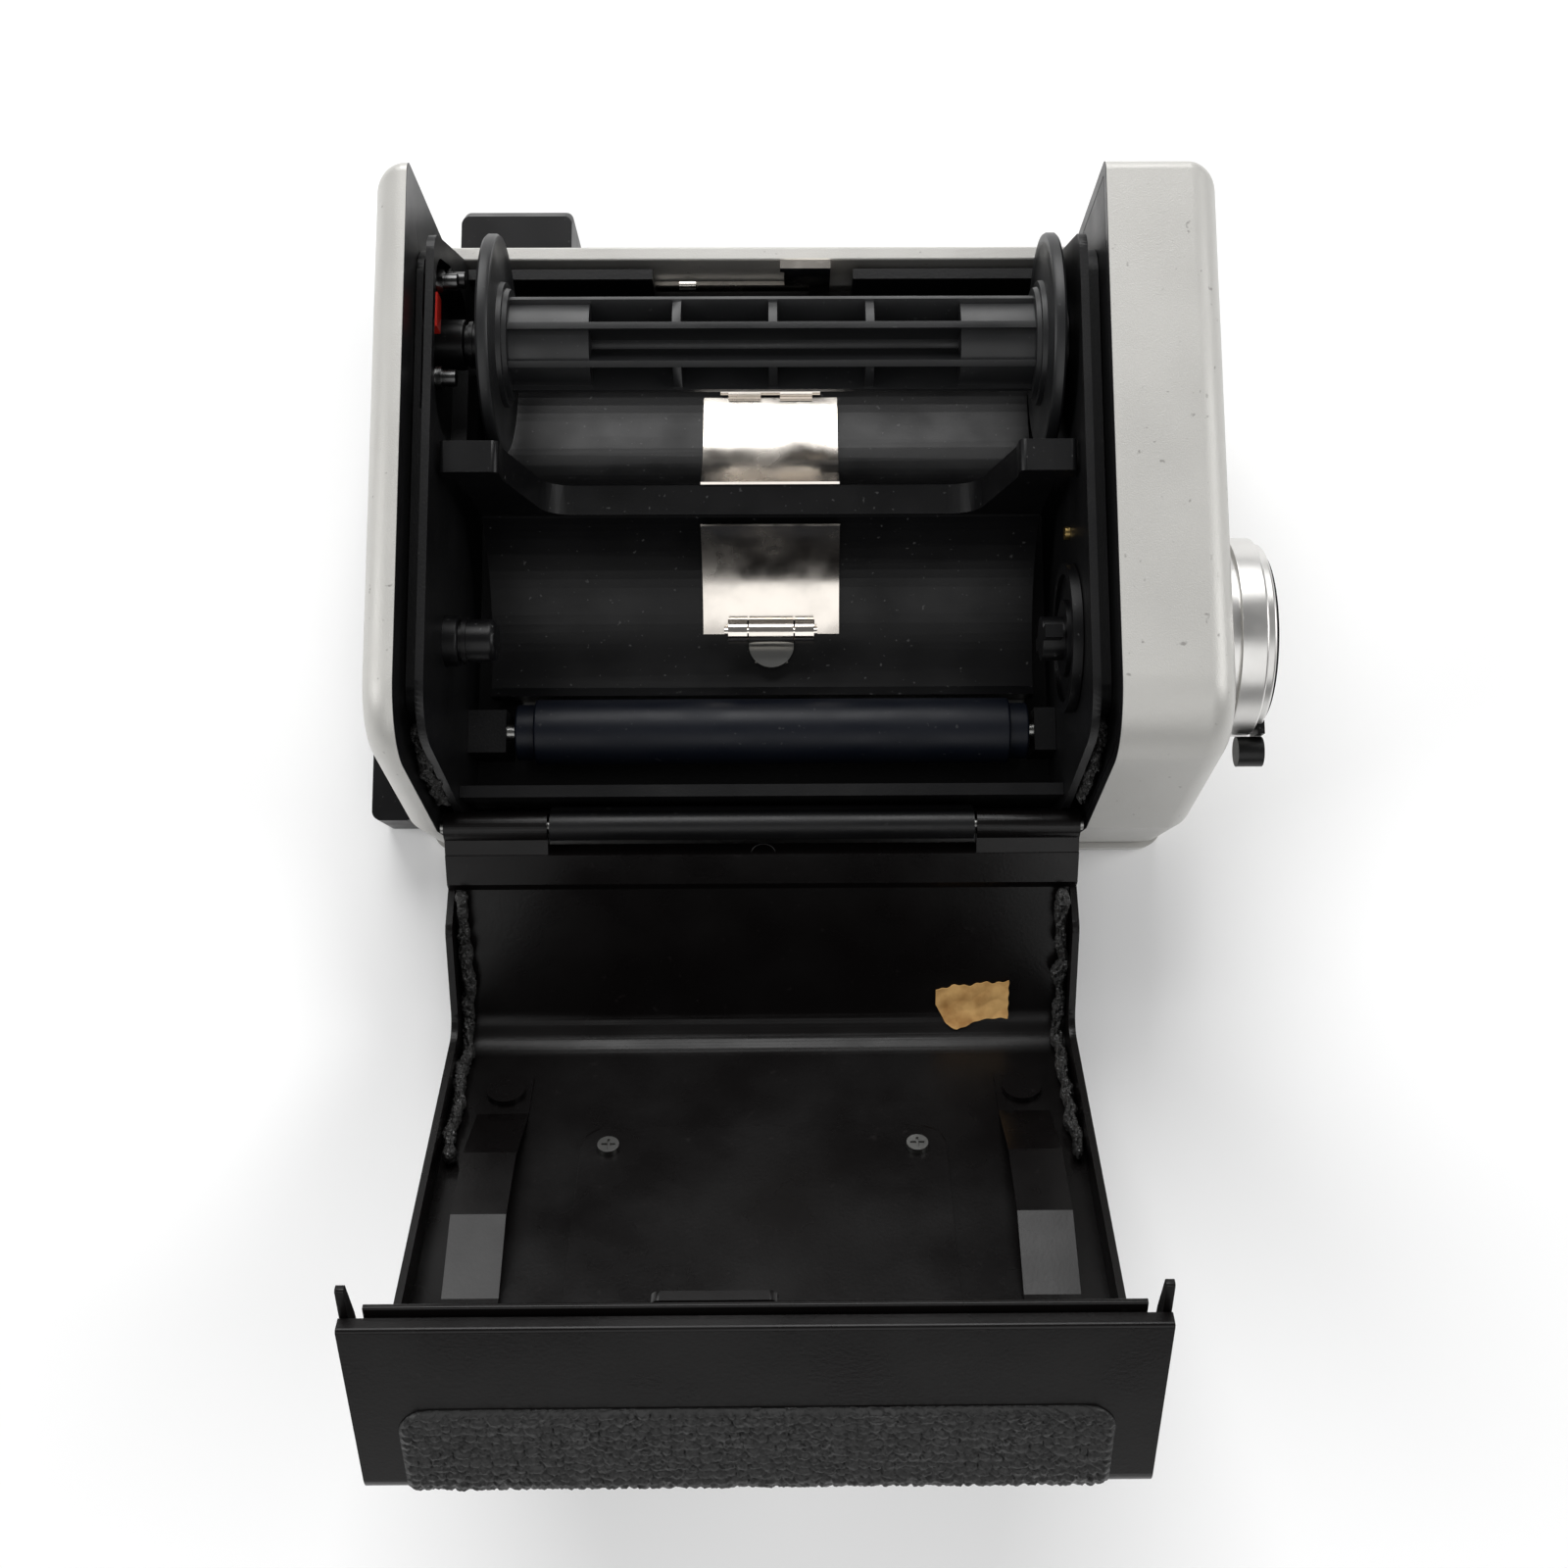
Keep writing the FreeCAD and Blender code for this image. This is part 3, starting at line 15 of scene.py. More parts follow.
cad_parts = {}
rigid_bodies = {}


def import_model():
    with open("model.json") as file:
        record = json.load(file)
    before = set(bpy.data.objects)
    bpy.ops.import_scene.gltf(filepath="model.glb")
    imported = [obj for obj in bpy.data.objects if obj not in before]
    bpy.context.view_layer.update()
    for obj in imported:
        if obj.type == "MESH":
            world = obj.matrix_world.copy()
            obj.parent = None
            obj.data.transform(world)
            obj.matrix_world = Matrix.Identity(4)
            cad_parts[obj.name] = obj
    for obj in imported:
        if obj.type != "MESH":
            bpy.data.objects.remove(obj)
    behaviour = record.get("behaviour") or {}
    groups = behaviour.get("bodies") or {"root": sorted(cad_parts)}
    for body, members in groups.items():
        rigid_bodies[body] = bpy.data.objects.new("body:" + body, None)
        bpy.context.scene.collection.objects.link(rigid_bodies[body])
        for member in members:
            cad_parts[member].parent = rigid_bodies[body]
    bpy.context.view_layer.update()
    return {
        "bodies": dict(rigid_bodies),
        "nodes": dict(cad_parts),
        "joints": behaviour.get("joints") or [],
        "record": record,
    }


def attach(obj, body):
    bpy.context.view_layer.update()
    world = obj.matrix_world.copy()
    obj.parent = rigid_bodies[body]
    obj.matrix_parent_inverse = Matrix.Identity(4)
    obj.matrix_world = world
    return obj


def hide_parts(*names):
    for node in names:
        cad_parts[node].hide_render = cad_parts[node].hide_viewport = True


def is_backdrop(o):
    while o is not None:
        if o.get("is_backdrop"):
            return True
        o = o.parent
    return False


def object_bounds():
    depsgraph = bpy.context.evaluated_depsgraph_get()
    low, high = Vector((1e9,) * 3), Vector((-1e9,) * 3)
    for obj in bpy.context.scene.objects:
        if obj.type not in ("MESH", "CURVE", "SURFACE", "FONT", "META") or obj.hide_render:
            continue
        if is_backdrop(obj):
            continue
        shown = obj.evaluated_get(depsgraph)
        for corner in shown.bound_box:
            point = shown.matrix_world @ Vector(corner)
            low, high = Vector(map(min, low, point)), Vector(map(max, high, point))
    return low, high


LOG = logging.getLogger("magazine")
MM = 0.001
ONE_POINT = 1e-7  # points of a grid nearer than this, in metres, are one point
ARC_POINTS = 9  # points along a rounded corner of a profile
FOOT_RISE = -29.5 + 35.6  # climb of the door's sloped foot, mm
FOOT_RUN = 46.0 - 18.0  # depth over which the foot climbs, mm
Grid = np.ndarray


class Side(Enum):
    """Which side of the magazine a piece belongs to."""

    LEFT = -1
    RIGHT = 1


# ------------------------------------------------------------------ surfaces


def mesh_piece(
    name: str, points: Grid, faces: Grid, sharp_degrees: float = 35.0
) -> bpy.types.Object:
    """Put whole arrays into a new mesh, merge its doubles and point its faces outwards.

    Args:
        name: Name of the piece.
        points: Vertex places in metres, one row each.
        faces: Quads as rows of four vertex numbers.
        sharp_degrees: Edges steeper than this stay sharp.

    Returns:
        The new object at the origin.
    """
    mesh = bpy.data.meshes.new(name)
    mesh.vertices.add(len(points))
    mesh.vertices.foreach_set("co", np.ascontiguousarray(points, np.float32).ravel())
    mesh.loops.add(faces.size)
    mesh.loops.foreach_set("vertex_index", np.ascontiguousarray(faces, np.int32).ravel())
    mesh.polygons.add(len(faces))
    mesh.polygons.foreach_set("loop_start", np.arange(len(faces), dtype=np.int32) * 4)
    mesh.update(calc_edges=True)
    shape = bmesh.new()
    shape.from_mesh(mesh)
    bmesh.ops.remove_doubles(shape, verts=shape.verts, dist=ONE_POINT)
    bmesh.ops.recalc_face_normals(shape, faces=shape.faces)
    shape.to_mesh(mesh)
    shape.free()
    mesh.shade_smooth()
    mesh.set_sharp_from_angle(angle=math.radians(sharp_degrees))
    piece = bpy.data.objects.new(name, mesh)
    bpy.context.scene.collection.objects.link(piece)
    return piece


def grid_faces(rows: int, columns: int, wrap: bool = False, start: int = 0) -> Grid:
    """Quads of a grid of points, row by row.

    Args:
        rows: Number of point rows.
        columns: Number of points in a row.
        wrap: Whether the last column joins the first.
        start: Number of the grid's first point.

    Returns:
        Rows of four vertex numbers.
    """
    across = columns if wrap else columns - 1
    row, column = np.meshgrid(np.arange(rows - 1), np.arange(across), indexing="ij")
    following = (column + 1) % columns
    quads = np.stack(
        [row * columns + column, row * columns + following,
         (row + 1) * columns + following, (row + 1) * columns + column], axis=-1)
    return quads.reshape(-1, 4) + start


def slab(front: Grid, back: Grid) -> tuple[Grid, Grid]:
    """Closed sheet between two grids of the same size: front, back and a rim strip.

    Args:
        front: Points of the outer face, rows by columns by 3.
        back: Points of the inner face, rows by columns by 3.

    Returns:
        Points and quads.
    """
    rows, columns = front.shape[:2]
    count = rows * columns
    number = np.arange(count).reshape(rows, columns)
    ring = np.concatenate([number[0, :-1], number[:-1, -1], number[-1, :0:-1], number[:0:-1, 0]])
    after = np.roll(ring, -1)
    rim = np.stack([ring, after, after + count, ring + count], axis=-1)
    points = np.concatenate([front.reshape(-1, 3), back.reshape(-1, 3)])
    back_faces = grid_faces(rows, columns, start=count)[:, ::-1]
    faces = np.concatenate([grid_faces(rows, columns), back_faces, rim])
    return points, faces


def ripple(x: Grid, y: Grid, z: Grid, seed: int, waves: int = 24, pitch: float = 1.0) -> Grid:
    """Smooth random relief in -1..1: a sum of sine waves of random direction, length and phase.

    Args:
        x: First coordinate, mm.
        y: Second coordinate, mm.
        z: Third coordinate, mm.
        seed: Seed of the random directions.
        waves: Number of waves.
        pitch: Mean wave length, mm.

    Returns:
        Relief of the same shape as the coordinates.
    """
    rng = np.random.default_rng(seed)
    direction = rng.normal(size=(waves, 3))
    direction /= np.linalg.norm(direction, axis=1, keepdims=True)
    number = 2 * np.pi / (pitch * rng.uniform(0.6, 1.7, waves))
    phase = rng.uniform(0, 2 * np.pi, waves)
    total = np.zeros_like(x)
    for k in range(waves):
        along = direction[k, 0] * x + direction[k, 1] * y + direction[k, 2] * z
        total += np.sin(number[k] * along + phase[k])
    return total / math.sqrt(waves)


def pebbles(u: Grid, v: Grid, cell: float, seed: int) -> Grid:
    """Pebble relief in 0..1 on a plane: distance between the two nearest jittered cell centres.

    Args:
        u: First coordinate, mm.
        v: Second coordinate, mm.
        cell: Mean pebble size, mm.
        seed: Seed of the jitter.

    Returns:
        Height, 0 in the creases and near 1 on a pebble's crown.
    """
    period, beyond, steepness = 256, 9.0, 1.9
    rng = np.random.default_rng(seed)
    table = rng.uniform(0.12, 0.88, (period, period, 2))
    column, row = np.floor(u / cell).astype(int), np.floor(v / cell).astype(int)
    near = np.full(u.shape, beyond)
    second = np.full(u.shape, beyond)
    for du in (-1, 0, 1):
        for dv in (-1, 0, 1):
            spot = table[(row + dv) % period, (column + du) % period]
            across = u / cell - (column + du + spot[..., 0])
            along = v / cell - (row + dv + spot[..., 1])
            gap = np.hypot(across, along)
            second = np.minimum(second, np.maximum(gap, near))
            near = np.minimum(near, gap)
    return np.clip((second - near) * steepness, 0.0, 1.0)


# ------------------------------------------------------------------ the door's own frame


@dataclass(frozen=True)
class DoorFrame:
    """Turns places drawn in the shut door to where the open door holds them.

    The hinge runs along X. A shut place (y, z) is turned about it by the open angle.
    """

    hinge_y: float
    hinge_z: float
    open_angle: float

    @staticmethod
    def from_joint(joint: dict) -> "DoorFrame":
        """Read the hinge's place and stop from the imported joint.

        Args:
            joint: The door hinge as the record gives it.

        Returns:
            The frame, in mm and radians.
        """
        _, hinge_y, hinge_z = joint["pos_m"]
        return DoorFrame(hinge_y / MM, hinge_z / MM, -math.radians(joint["range_deg"][0]))

    def opened(self, x: Grid, y: Grid, z: Grid) -> Grid:
        """Points of the open door from shut coordinates.

        Args:
            x: Across the door, mm.
            y: Height with the door shut, mm.
            z: Depth with the door shut, mm.

        Returns:
            Points in metres, the last axis being x, y, z.
        """
        c, s = math.cos(self.open_angle), math.sin(self.open_angle)
        dy, dz = y - self.hinge_y, z - self.hinge_z
        y_open = self.hinge_y + dy * c - dz * s
        z_open = self.hinge_z + dy * s + dz * c
        return np.stack(np.broadcast_arrays(x, y_open, z_open), -1) * MM


def along_profile(corners: list[tuple[float, float, float]], step: float) -> Grid:
    """Evenly spaced points along a polyline whose corners are arcs.

    Args:
        corners: (y, z, radius) of each corner; the first and last are the ends.
        step: Spacing, mm.

    Returns:
        Rows of y, z, outward normal y and z, and length run so far.
    """
    track = [np.array(corners[0][:2])]
    for before, here, after in zip(corners, corners[1:], corners[2:]):
        p = np.array(here[:2])
        a = np.array(before[:2]) - p
        b = np.array(after[:2]) - p
        a /= np.linalg.norm(a)
        b /= np.linalg.norm(b)
        half = math.acos(np.clip(a @ b, -1, 1)) / 2
        reach = here[2] / math.tan(half)
        centre = p + (a + b) / np.linalg.norm(a + b) * here[2] / math.sin(half)
        start, stop = p + a * reach - centre, p + b * reach - centre
        for t in np.linspace(0, 1, ARC_POINTS):
            arm = start * (1 - t) + stop * t
            track.append(centre + arm / np.linalg.norm(arm) * here[2])
    track.append(np.array(corners[-1][:2]))
    path = np.array(track)
    run = np.concatenate([[0], np.cumsum(np.linalg.norm(np.diff(path, axis=0), axis=1))])
    at = np.linspace(0, run[-1], max(2, int(run[-1] / step)))
    y, z = np.interp(at, run, path[:, 0]), np.interp(at, run, path[:, 1])
    ty, tz = np.gradient(y), np.gradient(z)
    size = np.hypot(ty, tz)
    return np.stack([y, z, tz / size, -ty / size, at], axis=-1)


# ------------------------------------------------------------------ finishes


@dataclass(frozen=True)
class Paint:
    """A painted or enamelled metal finish, with lengths in mm."""

    name: str
    color: tuple[float, float, float]
    roughness: float
    grain: float
    bump: float
    metallic: float = 0.0
    scuff: tuple[float, float, float] = (0.3, 0.3, 0.3)
    scuff_share: float = 0.3
    specular: float = 0.5
    dark_beyond: tuple[float, float] | None = None


@dataclass(frozen=True)
class Plastic:
    """A moulded plastic finish."""

    name: str
    color: tuple[float, float, float]
    roughness: float
    dust: float = 0.2
    specular: float = 0.24


@dataclass(frozen=True)
class Metal:
    """A bare metal finish; stretch is how much longer the brushing is along X than across."""

    name: str
    color: tuple[float, float, float]
    roughness: float
    stretch: tuple[float, float, float]
    smudge: float


def painted(finish: Paint) -> bpy.types.Material:
    """Painted metal: sprayed grain, uneven gloss, and small scuffs and dings.

    Args:
        finish: The colours and strengths.

    Returns:
        The material.
    """
    material = bpy.data.materials.new(finish.name)
    material.use_nodes = True
    tree = material.node_tree
    tree.nodes.clear()
    out = tree.nodes.new("ShaderNodeOutputMaterial")
    out.label = "painted surface"
    shader = tree.nodes.new("ShaderNodeBsdfPrincipled")
    shader.label = "paint film"
    shader.inputs["Metallic"].default_value = finish.metallic
    shader.inputs["Specular IOR Level"].default_value = finish.specular
    place = tree.nodes.new("ShaderNodeTexCoord")
    place.label = "place on the magazine"

    grain_frame = tree.nodes.new("NodeFrame")
    grain_frame.label = "sprayed grain"
    grain = tree.nodes.new("ShaderNodeTexNoise")
    grain.label = "paint droplets"
    grain.inputs["Scale"].default_value = 1 / (finish.grain * MM)
    grain.inputs["Detail"].default_value = 3.0
    bump = tree.nodes.new("ShaderNodeBump")
    bump.label = "orange peel"
    bump.inputs["Strength"].default_value = finish.bump
    bump.inputs["Distance"].default_value = 0.00006
    grain.parent = bump.parent = grain_frame

    tone_frame = tree.nodes.new("NodeFrame")
    tone_frame.label = "handling marks"
    cloud = tree.nodes.new("ShaderNodeTexNoise")
    cloud.label = "patches polished by hands"
    cloud.inputs["Scale"].default_value = 90.0
    cloud.inputs["Detail"].default_value = 4.0
    gloss = tree.nodes.new("ShaderNodeMapRange")
    gloss.label = "roughness of the patches"
    gloss.inputs["From Min"].default_value = 0.3
    gloss.inputs["From Max"].default_value = 0.7
    gloss.inputs["To Min"].default_value = finish.roughness - 0.07
    gloss.inputs["To Max"].default_value = finish.roughness + 0.07
    speck = tree.nodes.new("ShaderNodeTexNoise")
    speck.label = "dings and dirt"
    speck.inputs["Scale"].default_value = 900.0
    speck.inputs["Detail"].default_value = 2.0
    speck_mask = tree.nodes.new("ShaderNodeMapRange")
    speck_mask.label = "only the rare ones"
    speck_mask.inputs["From Min"].default_value = 0.70
    speck_mask.inputs["From Max"].default_value = 0.76
    speck_mask.inputs["To Max"].default_value = finish.scuff_share
    worn = tree.nodes.new("ShaderNodeMix")
    worn.label = "paint with its dings"
    worn.data_type = "RGBA"
    worn.inputs["A"].default_value = (*finish.color, 1)
    worn.inputs["B"].default_value = (*finish.scuff, 1)
    for node in (cloud, gloss, speck, speck_mask, worn):
        node.parent = tone_frame

    links = tree.links
    links.new(place.outputs["Object"], grain.inputs["Vector"])
    links.new(place.outputs["Object"], cloud.inputs["Vector"])
    links.new(place.outputs["Object"], speck.inputs["Vector"])
    links.new(grain.outputs["Fac"], bump.inputs["Height"])
    links.new(cloud.outputs["Fac"], gloss.inputs["Value"])
    links.new(gloss.outputs["Result"], shader.inputs["Roughness"])
    links.new(speck.outputs["Fac"], speck_mask.inputs["Value"])
    links.new(speck_mask.outputs["Result"], worn.inputs["Factor"])
    links.new(bump.outputs["Normal"], shader.inputs["Normal"])
    links.new(shader.outputs["BSDF"], out.inputs["Surface"])
    last = worn.outputs["Result"]

    if finish.dark_beyond is not None:
        low, high = finish.dark_beyond
        inner_frame = tree.nodes.new("NodeFrame")
        inner_frame.label = "blackened inner face"
        parts = tree.nodes.new("ShaderNodeSeparateXYZ")
        parts.label = "place across the magazine"
        above = tree.nodes.new("ShaderNodeMath")
        above.label = "right of the left cover's inner face"
        above.operation = "GREATER_THAN"
        above.inputs[1].default_value = low * MM
        below = tree.nodes.new("ShaderNodeMath")
        below.label = "left of the housing's inner face"
        below.operation = "LESS_THAN"
        below.inputs[1].default_value = high * MM
        both = tree.nodes.new("ShaderNodeMath")
        both.label = "between the two"
        both.operation = "MULTIPLY"
        black = tree.nodes.new("ShaderNodeMix")
        black.label = "black inside, paint outside"
        black.data_type = "RGBA"
        black.inputs["B"].default_value = (0.004, 0.004, 0.0045, 1)
        bare = tree.nodes.new("ShaderNodeMapRange")
        bare.label = "no metal under the black"
        bare.inputs["To Min"].default_value = finish.metallic
        bare.inputs["To Max"].default_value = 0.0
        for node in (parts, above, below, both, black, bare):
            node.parent = inner_frame
        links.new(place.outputs["Object"], parts.inputs["Vector"])
        links.new(parts.outputs["X"], above.inputs[0])
        links.new(parts.outputs["X"], below.inputs[0])
        links.new(above.outputs["Value"], both.inputs[0])
        links.new(below.outputs["Value"], both.inputs[1])
        links.new(both.outputs["Value"], black.inputs["Factor"])
        links.new(both.outputs["Value"], bare.inputs["Value"])
        links.new(bare.outputs["Result"], shader.inputs["Metallic"])
        links.new(last, black.inputs["A"])
        last = black.outputs["Result"]
    links.new(last, shader.inputs["Base Color"])
    lay_out(tree)
    return material


def moulded(finish: Plastic) -> bpy.types.Material:
    """Moulded plastic: a fine spark-eroded texture, faint flow marks, and pale dust.

    Args:
        finish: The colours and strengths.

    Returns:
        The material.
    """
    material = bpy.data.materials.new(finish.name)
    material.use_nodes = True
    tree = material.node_tree
    tree.nodes.clear()
    out = tree.nodes.new("ShaderNodeOutputMaterial")
    out.label = "moulded surface"
    shader = tree.nodes.new("ShaderNodeBsdfPrincipled")
    shader.label = "plastic"
    shader.inputs["Specular IOR Level"].default_value = finish.specular
    place = tree.nodes.new("ShaderNodeTexCoord")
    place.label = "place on the magazine"

    skin_frame = tree.nodes.new("NodeFrame")
    skin_frame.label = "mould texture"
    skin = tree.nodes.new("ShaderNodeTexNoise")
    skin.label = "spark-eroded grain"
    skin.inputs["Scale"].default_value = 5200.0
    skin.inputs["Detail"].default_value = 2.0
    bump = tree.nodes.new("ShaderNodeBump")
    bump.label = "grain relief"
    bump.inputs["Strength"].default_value = 0.25
    bump.inputs["Distance"].default_value = 0.00003
    flow = tree.nodes.new("ShaderNodeTexNoise")
    flow.label = "flow marks and finger grease"
    flow.inputs["Scale"].default_value = 130.0
    flow.inputs["Detail"].default_value = 5.0
    gloss = tree.nodes.new("ShaderNodeMapRange")
    gloss.label = "roughness of the flow marks"
    gloss.inputs["From Min"].default_value = 0.3
    gloss.inputs["From Max"].default_value = 0.7
    gloss.inputs["To Min"].default_value = finish.roughness - 0.08
    gloss.inputs["To Max"].default_value = finish.roughness + 0.08
    for node in (skin, bump, flow, gloss):
        node.parent = skin_frame

    dust_frame = tree.nodes.new("NodeFrame")
    dust_frame.label = "dust"
    dust = tree.nodes.new("ShaderNodeTexNoise")
    dust.label = "dust grains"
    dust.inputs["Scale"].default_value = 1700.0
    dust.inputs["Detail"].default_value = 1.0
    settled = tree.nodes.new("ShaderNodeMapRange")
    settled.label = "only the largest grains"
    settled.inputs["From Min"].default_value = 0.72
    settled.inputs["From Max"].default_value = 0.78
    settled.inputs["To Max"].default_value = finish.dust
    dusty = tree.nodes.new("ShaderNodeMix")
    dusty.label = "plastic with dust on it"
    dusty.data_type = "RGBA"
    dusty.inputs["A"].default_value = (*finish.color, 1)
    dusty.inputs["B"].default_value = (0.25, 0.25, 0.25, 1)
    for node in (dust, settled, dusty):
        node.parent = dust_frame

    links = tree.links
    links.new(place.outputs["Object"], skin.inputs["Vector"])
    links.new(place.outputs["Object"], flow.inputs["Vector"])
    links.new(place.outputs["Object"], dust.inputs["Vector"])
    links.new(skin.outputs["Fac"], bump.inputs["Height"])
    links.new(flow.outputs["Fac"], gloss.inputs["Value"])
    links.new(gloss.outputs["Result"], shader.inputs["Roughness"])
    links.new(dust.outputs["Fac"], settled.inputs["Value"])
    links.new(settled.outputs["Result"], dusty.inputs["Factor"])
    links.new(dusty.outputs["Result"], shader.inputs["Base Color"])
    links.new(bump.outputs["Normal"], shader.inputs["Normal"])
    links.new(shader.outputs["BSDF"], out.inputs["Surface"])
    lay_out(tree)
    return material


def bare_metal(finish: Metal) -> bpy.types.Material:
    """Bare metal: fine brushing, and smudges that dull and stain the shine.

    Args:
        finish: The colours and strengths.

    Returns:
        The material.
    """
    material = bpy.data.materials.new(finish.name)
    material.use_nodes = True
    tree = material.node_tree
    tree.nodes.clear()
    out = tree.nodes.new("ShaderNodeOutputMaterial")
    out.label = "metal surface"
    shader = tree.nodes.new("ShaderNodeBsdfPrincipled")
    shader.label = "bare metal"
    shader.inputs["Metallic"].default_value = 1.0
    place = tree.nodes.new("ShaderNodeTexCoord")
    place.label = "place on the magazine"

    brush_frame = tree.nodes.new("NodeFrame")
    brush_frame.label = "brushing"
    turn = tree.nodes.new("ShaderNodeMapping")
    turn.label = "brushed direction"
    turn.inputs["Scale"].default_value = finish.stretch
    lines = tree.nodes.new("ShaderNodeTexNoise")
    lines.label = "brush lines"
    lines.inputs["Scale"].default_value = 1.0
    lines.inputs["Detail"].default_value = 3.0
    bump = tree.nodes.new("ShaderNodeBump")
    bump.label = "brush relief"
    bump.inputs["Strength"].default_value = 0.2
    bump.inputs["Distance"].default_value = 0.00001
    for node in (turn, lines, bump):
        node.parent = brush_frame

    smudge_frame = tree.nodes.new("NodeFrame")
    smudge_frame.label = "smudges"
    smudge = tree.nodes.new("ShaderNodeTexNoise")
    smudge.label = "finger smudges"
    smudge.inputs["Scale"].default_value = 170.0
    smudge.inputs["Detail"].default_value = 3.0
    smudge.inputs["Roughness"].default_value = 0.5
    dull = tree.nodes.new("ShaderNodeMapRange")
    dull.label = "roughness of the smudges"
    dull.inputs["From Min"].default_value = 0.42
    dull.inputs["From Max"].default_value = 0.66
    dull.inputs["To Min"].default_value = finish.roughness
    dull.inputs["To Max"].default_value = finish.roughness + finish.smudge
    stain = tree.nodes.new("ShaderNodeMix")
    stain.label = "metal stained by the smudges"
    stain.data_type = "RGBA"
    stain.inputs["A"].default_value = (*finish.color, 1)
    stain.inputs["B"].default_value = (*[0.86 * c for c in finish.color], 1)
    for node in (smudge, dull, stain):
        node.parent = smudge_frame

    links = tree.links
    links.new(place.outputs["Object"], turn.inputs["Vector"])
    links.new(turn.outputs["Vector"], lines.inputs["Vector"])
    links.new(lines.outputs["Fac"], bump.inputs["Height"])
    links.new(place.outputs["Object"], smudge.inputs["Vector"])
    links.new(smudge.outputs["Fac"], dull.inputs["Value"])
    links.new(dull.outputs["Result"], shader.inputs["Roughness"])
    links.new(smudge.outputs["Fac"], stain.inputs["Factor"])
    links.new(stain.outputs["Result"], shader.inputs["Base Color"])
    links.new(bump.outputs["Normal"], shader.inputs["Normal"])
    links.new(shader.outputs["BSDF"], out.inputs["Surface"])
    lay_out(tree)
    return material


def leatherette() -> bpy.types.Material:
    """Black covering: a relief of fine hair cracks and pores, with worn patches that vary its gloss
    and turn it greyer.

    Returns:
        The material.
    """
    material = bpy.data.materials.new("black_leatherette")
    material.use_nodes = True
    tree = material.node_tree
    tree.nodes.clear()
    out = tree.nodes.new("ShaderNodeOutputMaterial")
    out.label = "leatherette surface"
    shader = tree.nodes.new("ShaderNodeBsdfPrincipled")
    shader.label = "coated cloth"
    shader.inputs["Specular IOR Level"].default_value = 0.45
    place = tree.nodes.new("ShaderNodeTexCoord")
    place.label = "place on the door"
    frame = tree.nodes.new("NodeFrame")
    frame.label = "leather grain"
    crack = tree.nodes.new("ShaderNodeTexVoronoi")
    crack.label = "small grain cells"
    crack.feature = "DISTANCE_TO_EDGE"
    crack.inputs["Scale"].default_value = 1900.0
    pore = tree.nodes.new("ShaderNodeTexNoise")
    pore.label = "pores"
    pore.inputs["Scale"].default_value = 3600.0
    pore.inputs["Detail"].default_value = 2.0
    heights = tree.nodes.new("ShaderNodeMath")
    heights.label = "cells and pores together"
    heights.operation = "MULTIPLY_ADD"
    heights.inputs[1].default_value = 1.6
    bump = tree.nodes.new("ShaderNodeBump")
    bump.label = "grain relief"
    bump.inputs["Strength"].default_value = 0.45
    bump.inputs["Distance"].default_value = 0.00008
    patch = tree.nodes.new("ShaderNodeTexNoise")
    patch.label = "worn patches"
    patch.inputs["Scale"].default_value = 240.0
    patch.inputs["Detail"].default_value = 4.0
    gloss = tree.nodes.new("ShaderNodeMapRange")
    gloss.label = "gloss of the worn patches"
    gloss.inputs["From Min"].default_value = 0.3
    gloss.inputs["From Max"].default_value = 0.7
    gloss.inputs["To Min"].default_value = 0.34
    gloss.inputs["To Max"].default_value = 0.56
    tone = tree.nodes.new("ShaderNodeMix")
    tone.label = "black, greyer where worn"
    tone.data_type = "RGBA"
    tone.inputs["A"].default_value = (0.003, 0.003, 0.0032, 1)
    tone.inputs["B"].default_value = (0.016, 0.016, 0.0158, 1)
    for node in (crack, pore, heights, bump, patch, gloss, tone):
        node.parent = frame
    links = tree.links
    links.new(place.outputs["Object"], crack.inputs["Vector"])
    links.new(place.outputs["Object"], pore.inputs["Vector"])
    links.new(place.outputs["Object"], patch.inputs["Vector"])
    links.new(crack.outputs["Distance"], heights.inputs[0])
    links.new(pore.outputs["Fac"], heights.inputs[2])
    links.new(heights.outputs["Value"], bump.inputs["Height"])
    links.new(patch.outputs["Fac"], gloss.inputs["Value"])
    links.new(gloss.outputs["Result"], shader.inputs["Roughness"])
    links.new(patch.outputs["Fac"], tone.inputs["Factor"])
    links.new(tone.outputs["Result"], shader.inputs["Base Color"])
    links.new(bump.outputs["Normal"], shader.inputs["Normal"])
    links.new(shader.outputs["BSDF"], out.inputs["Surface"])
    lay_out(tree)
    return material


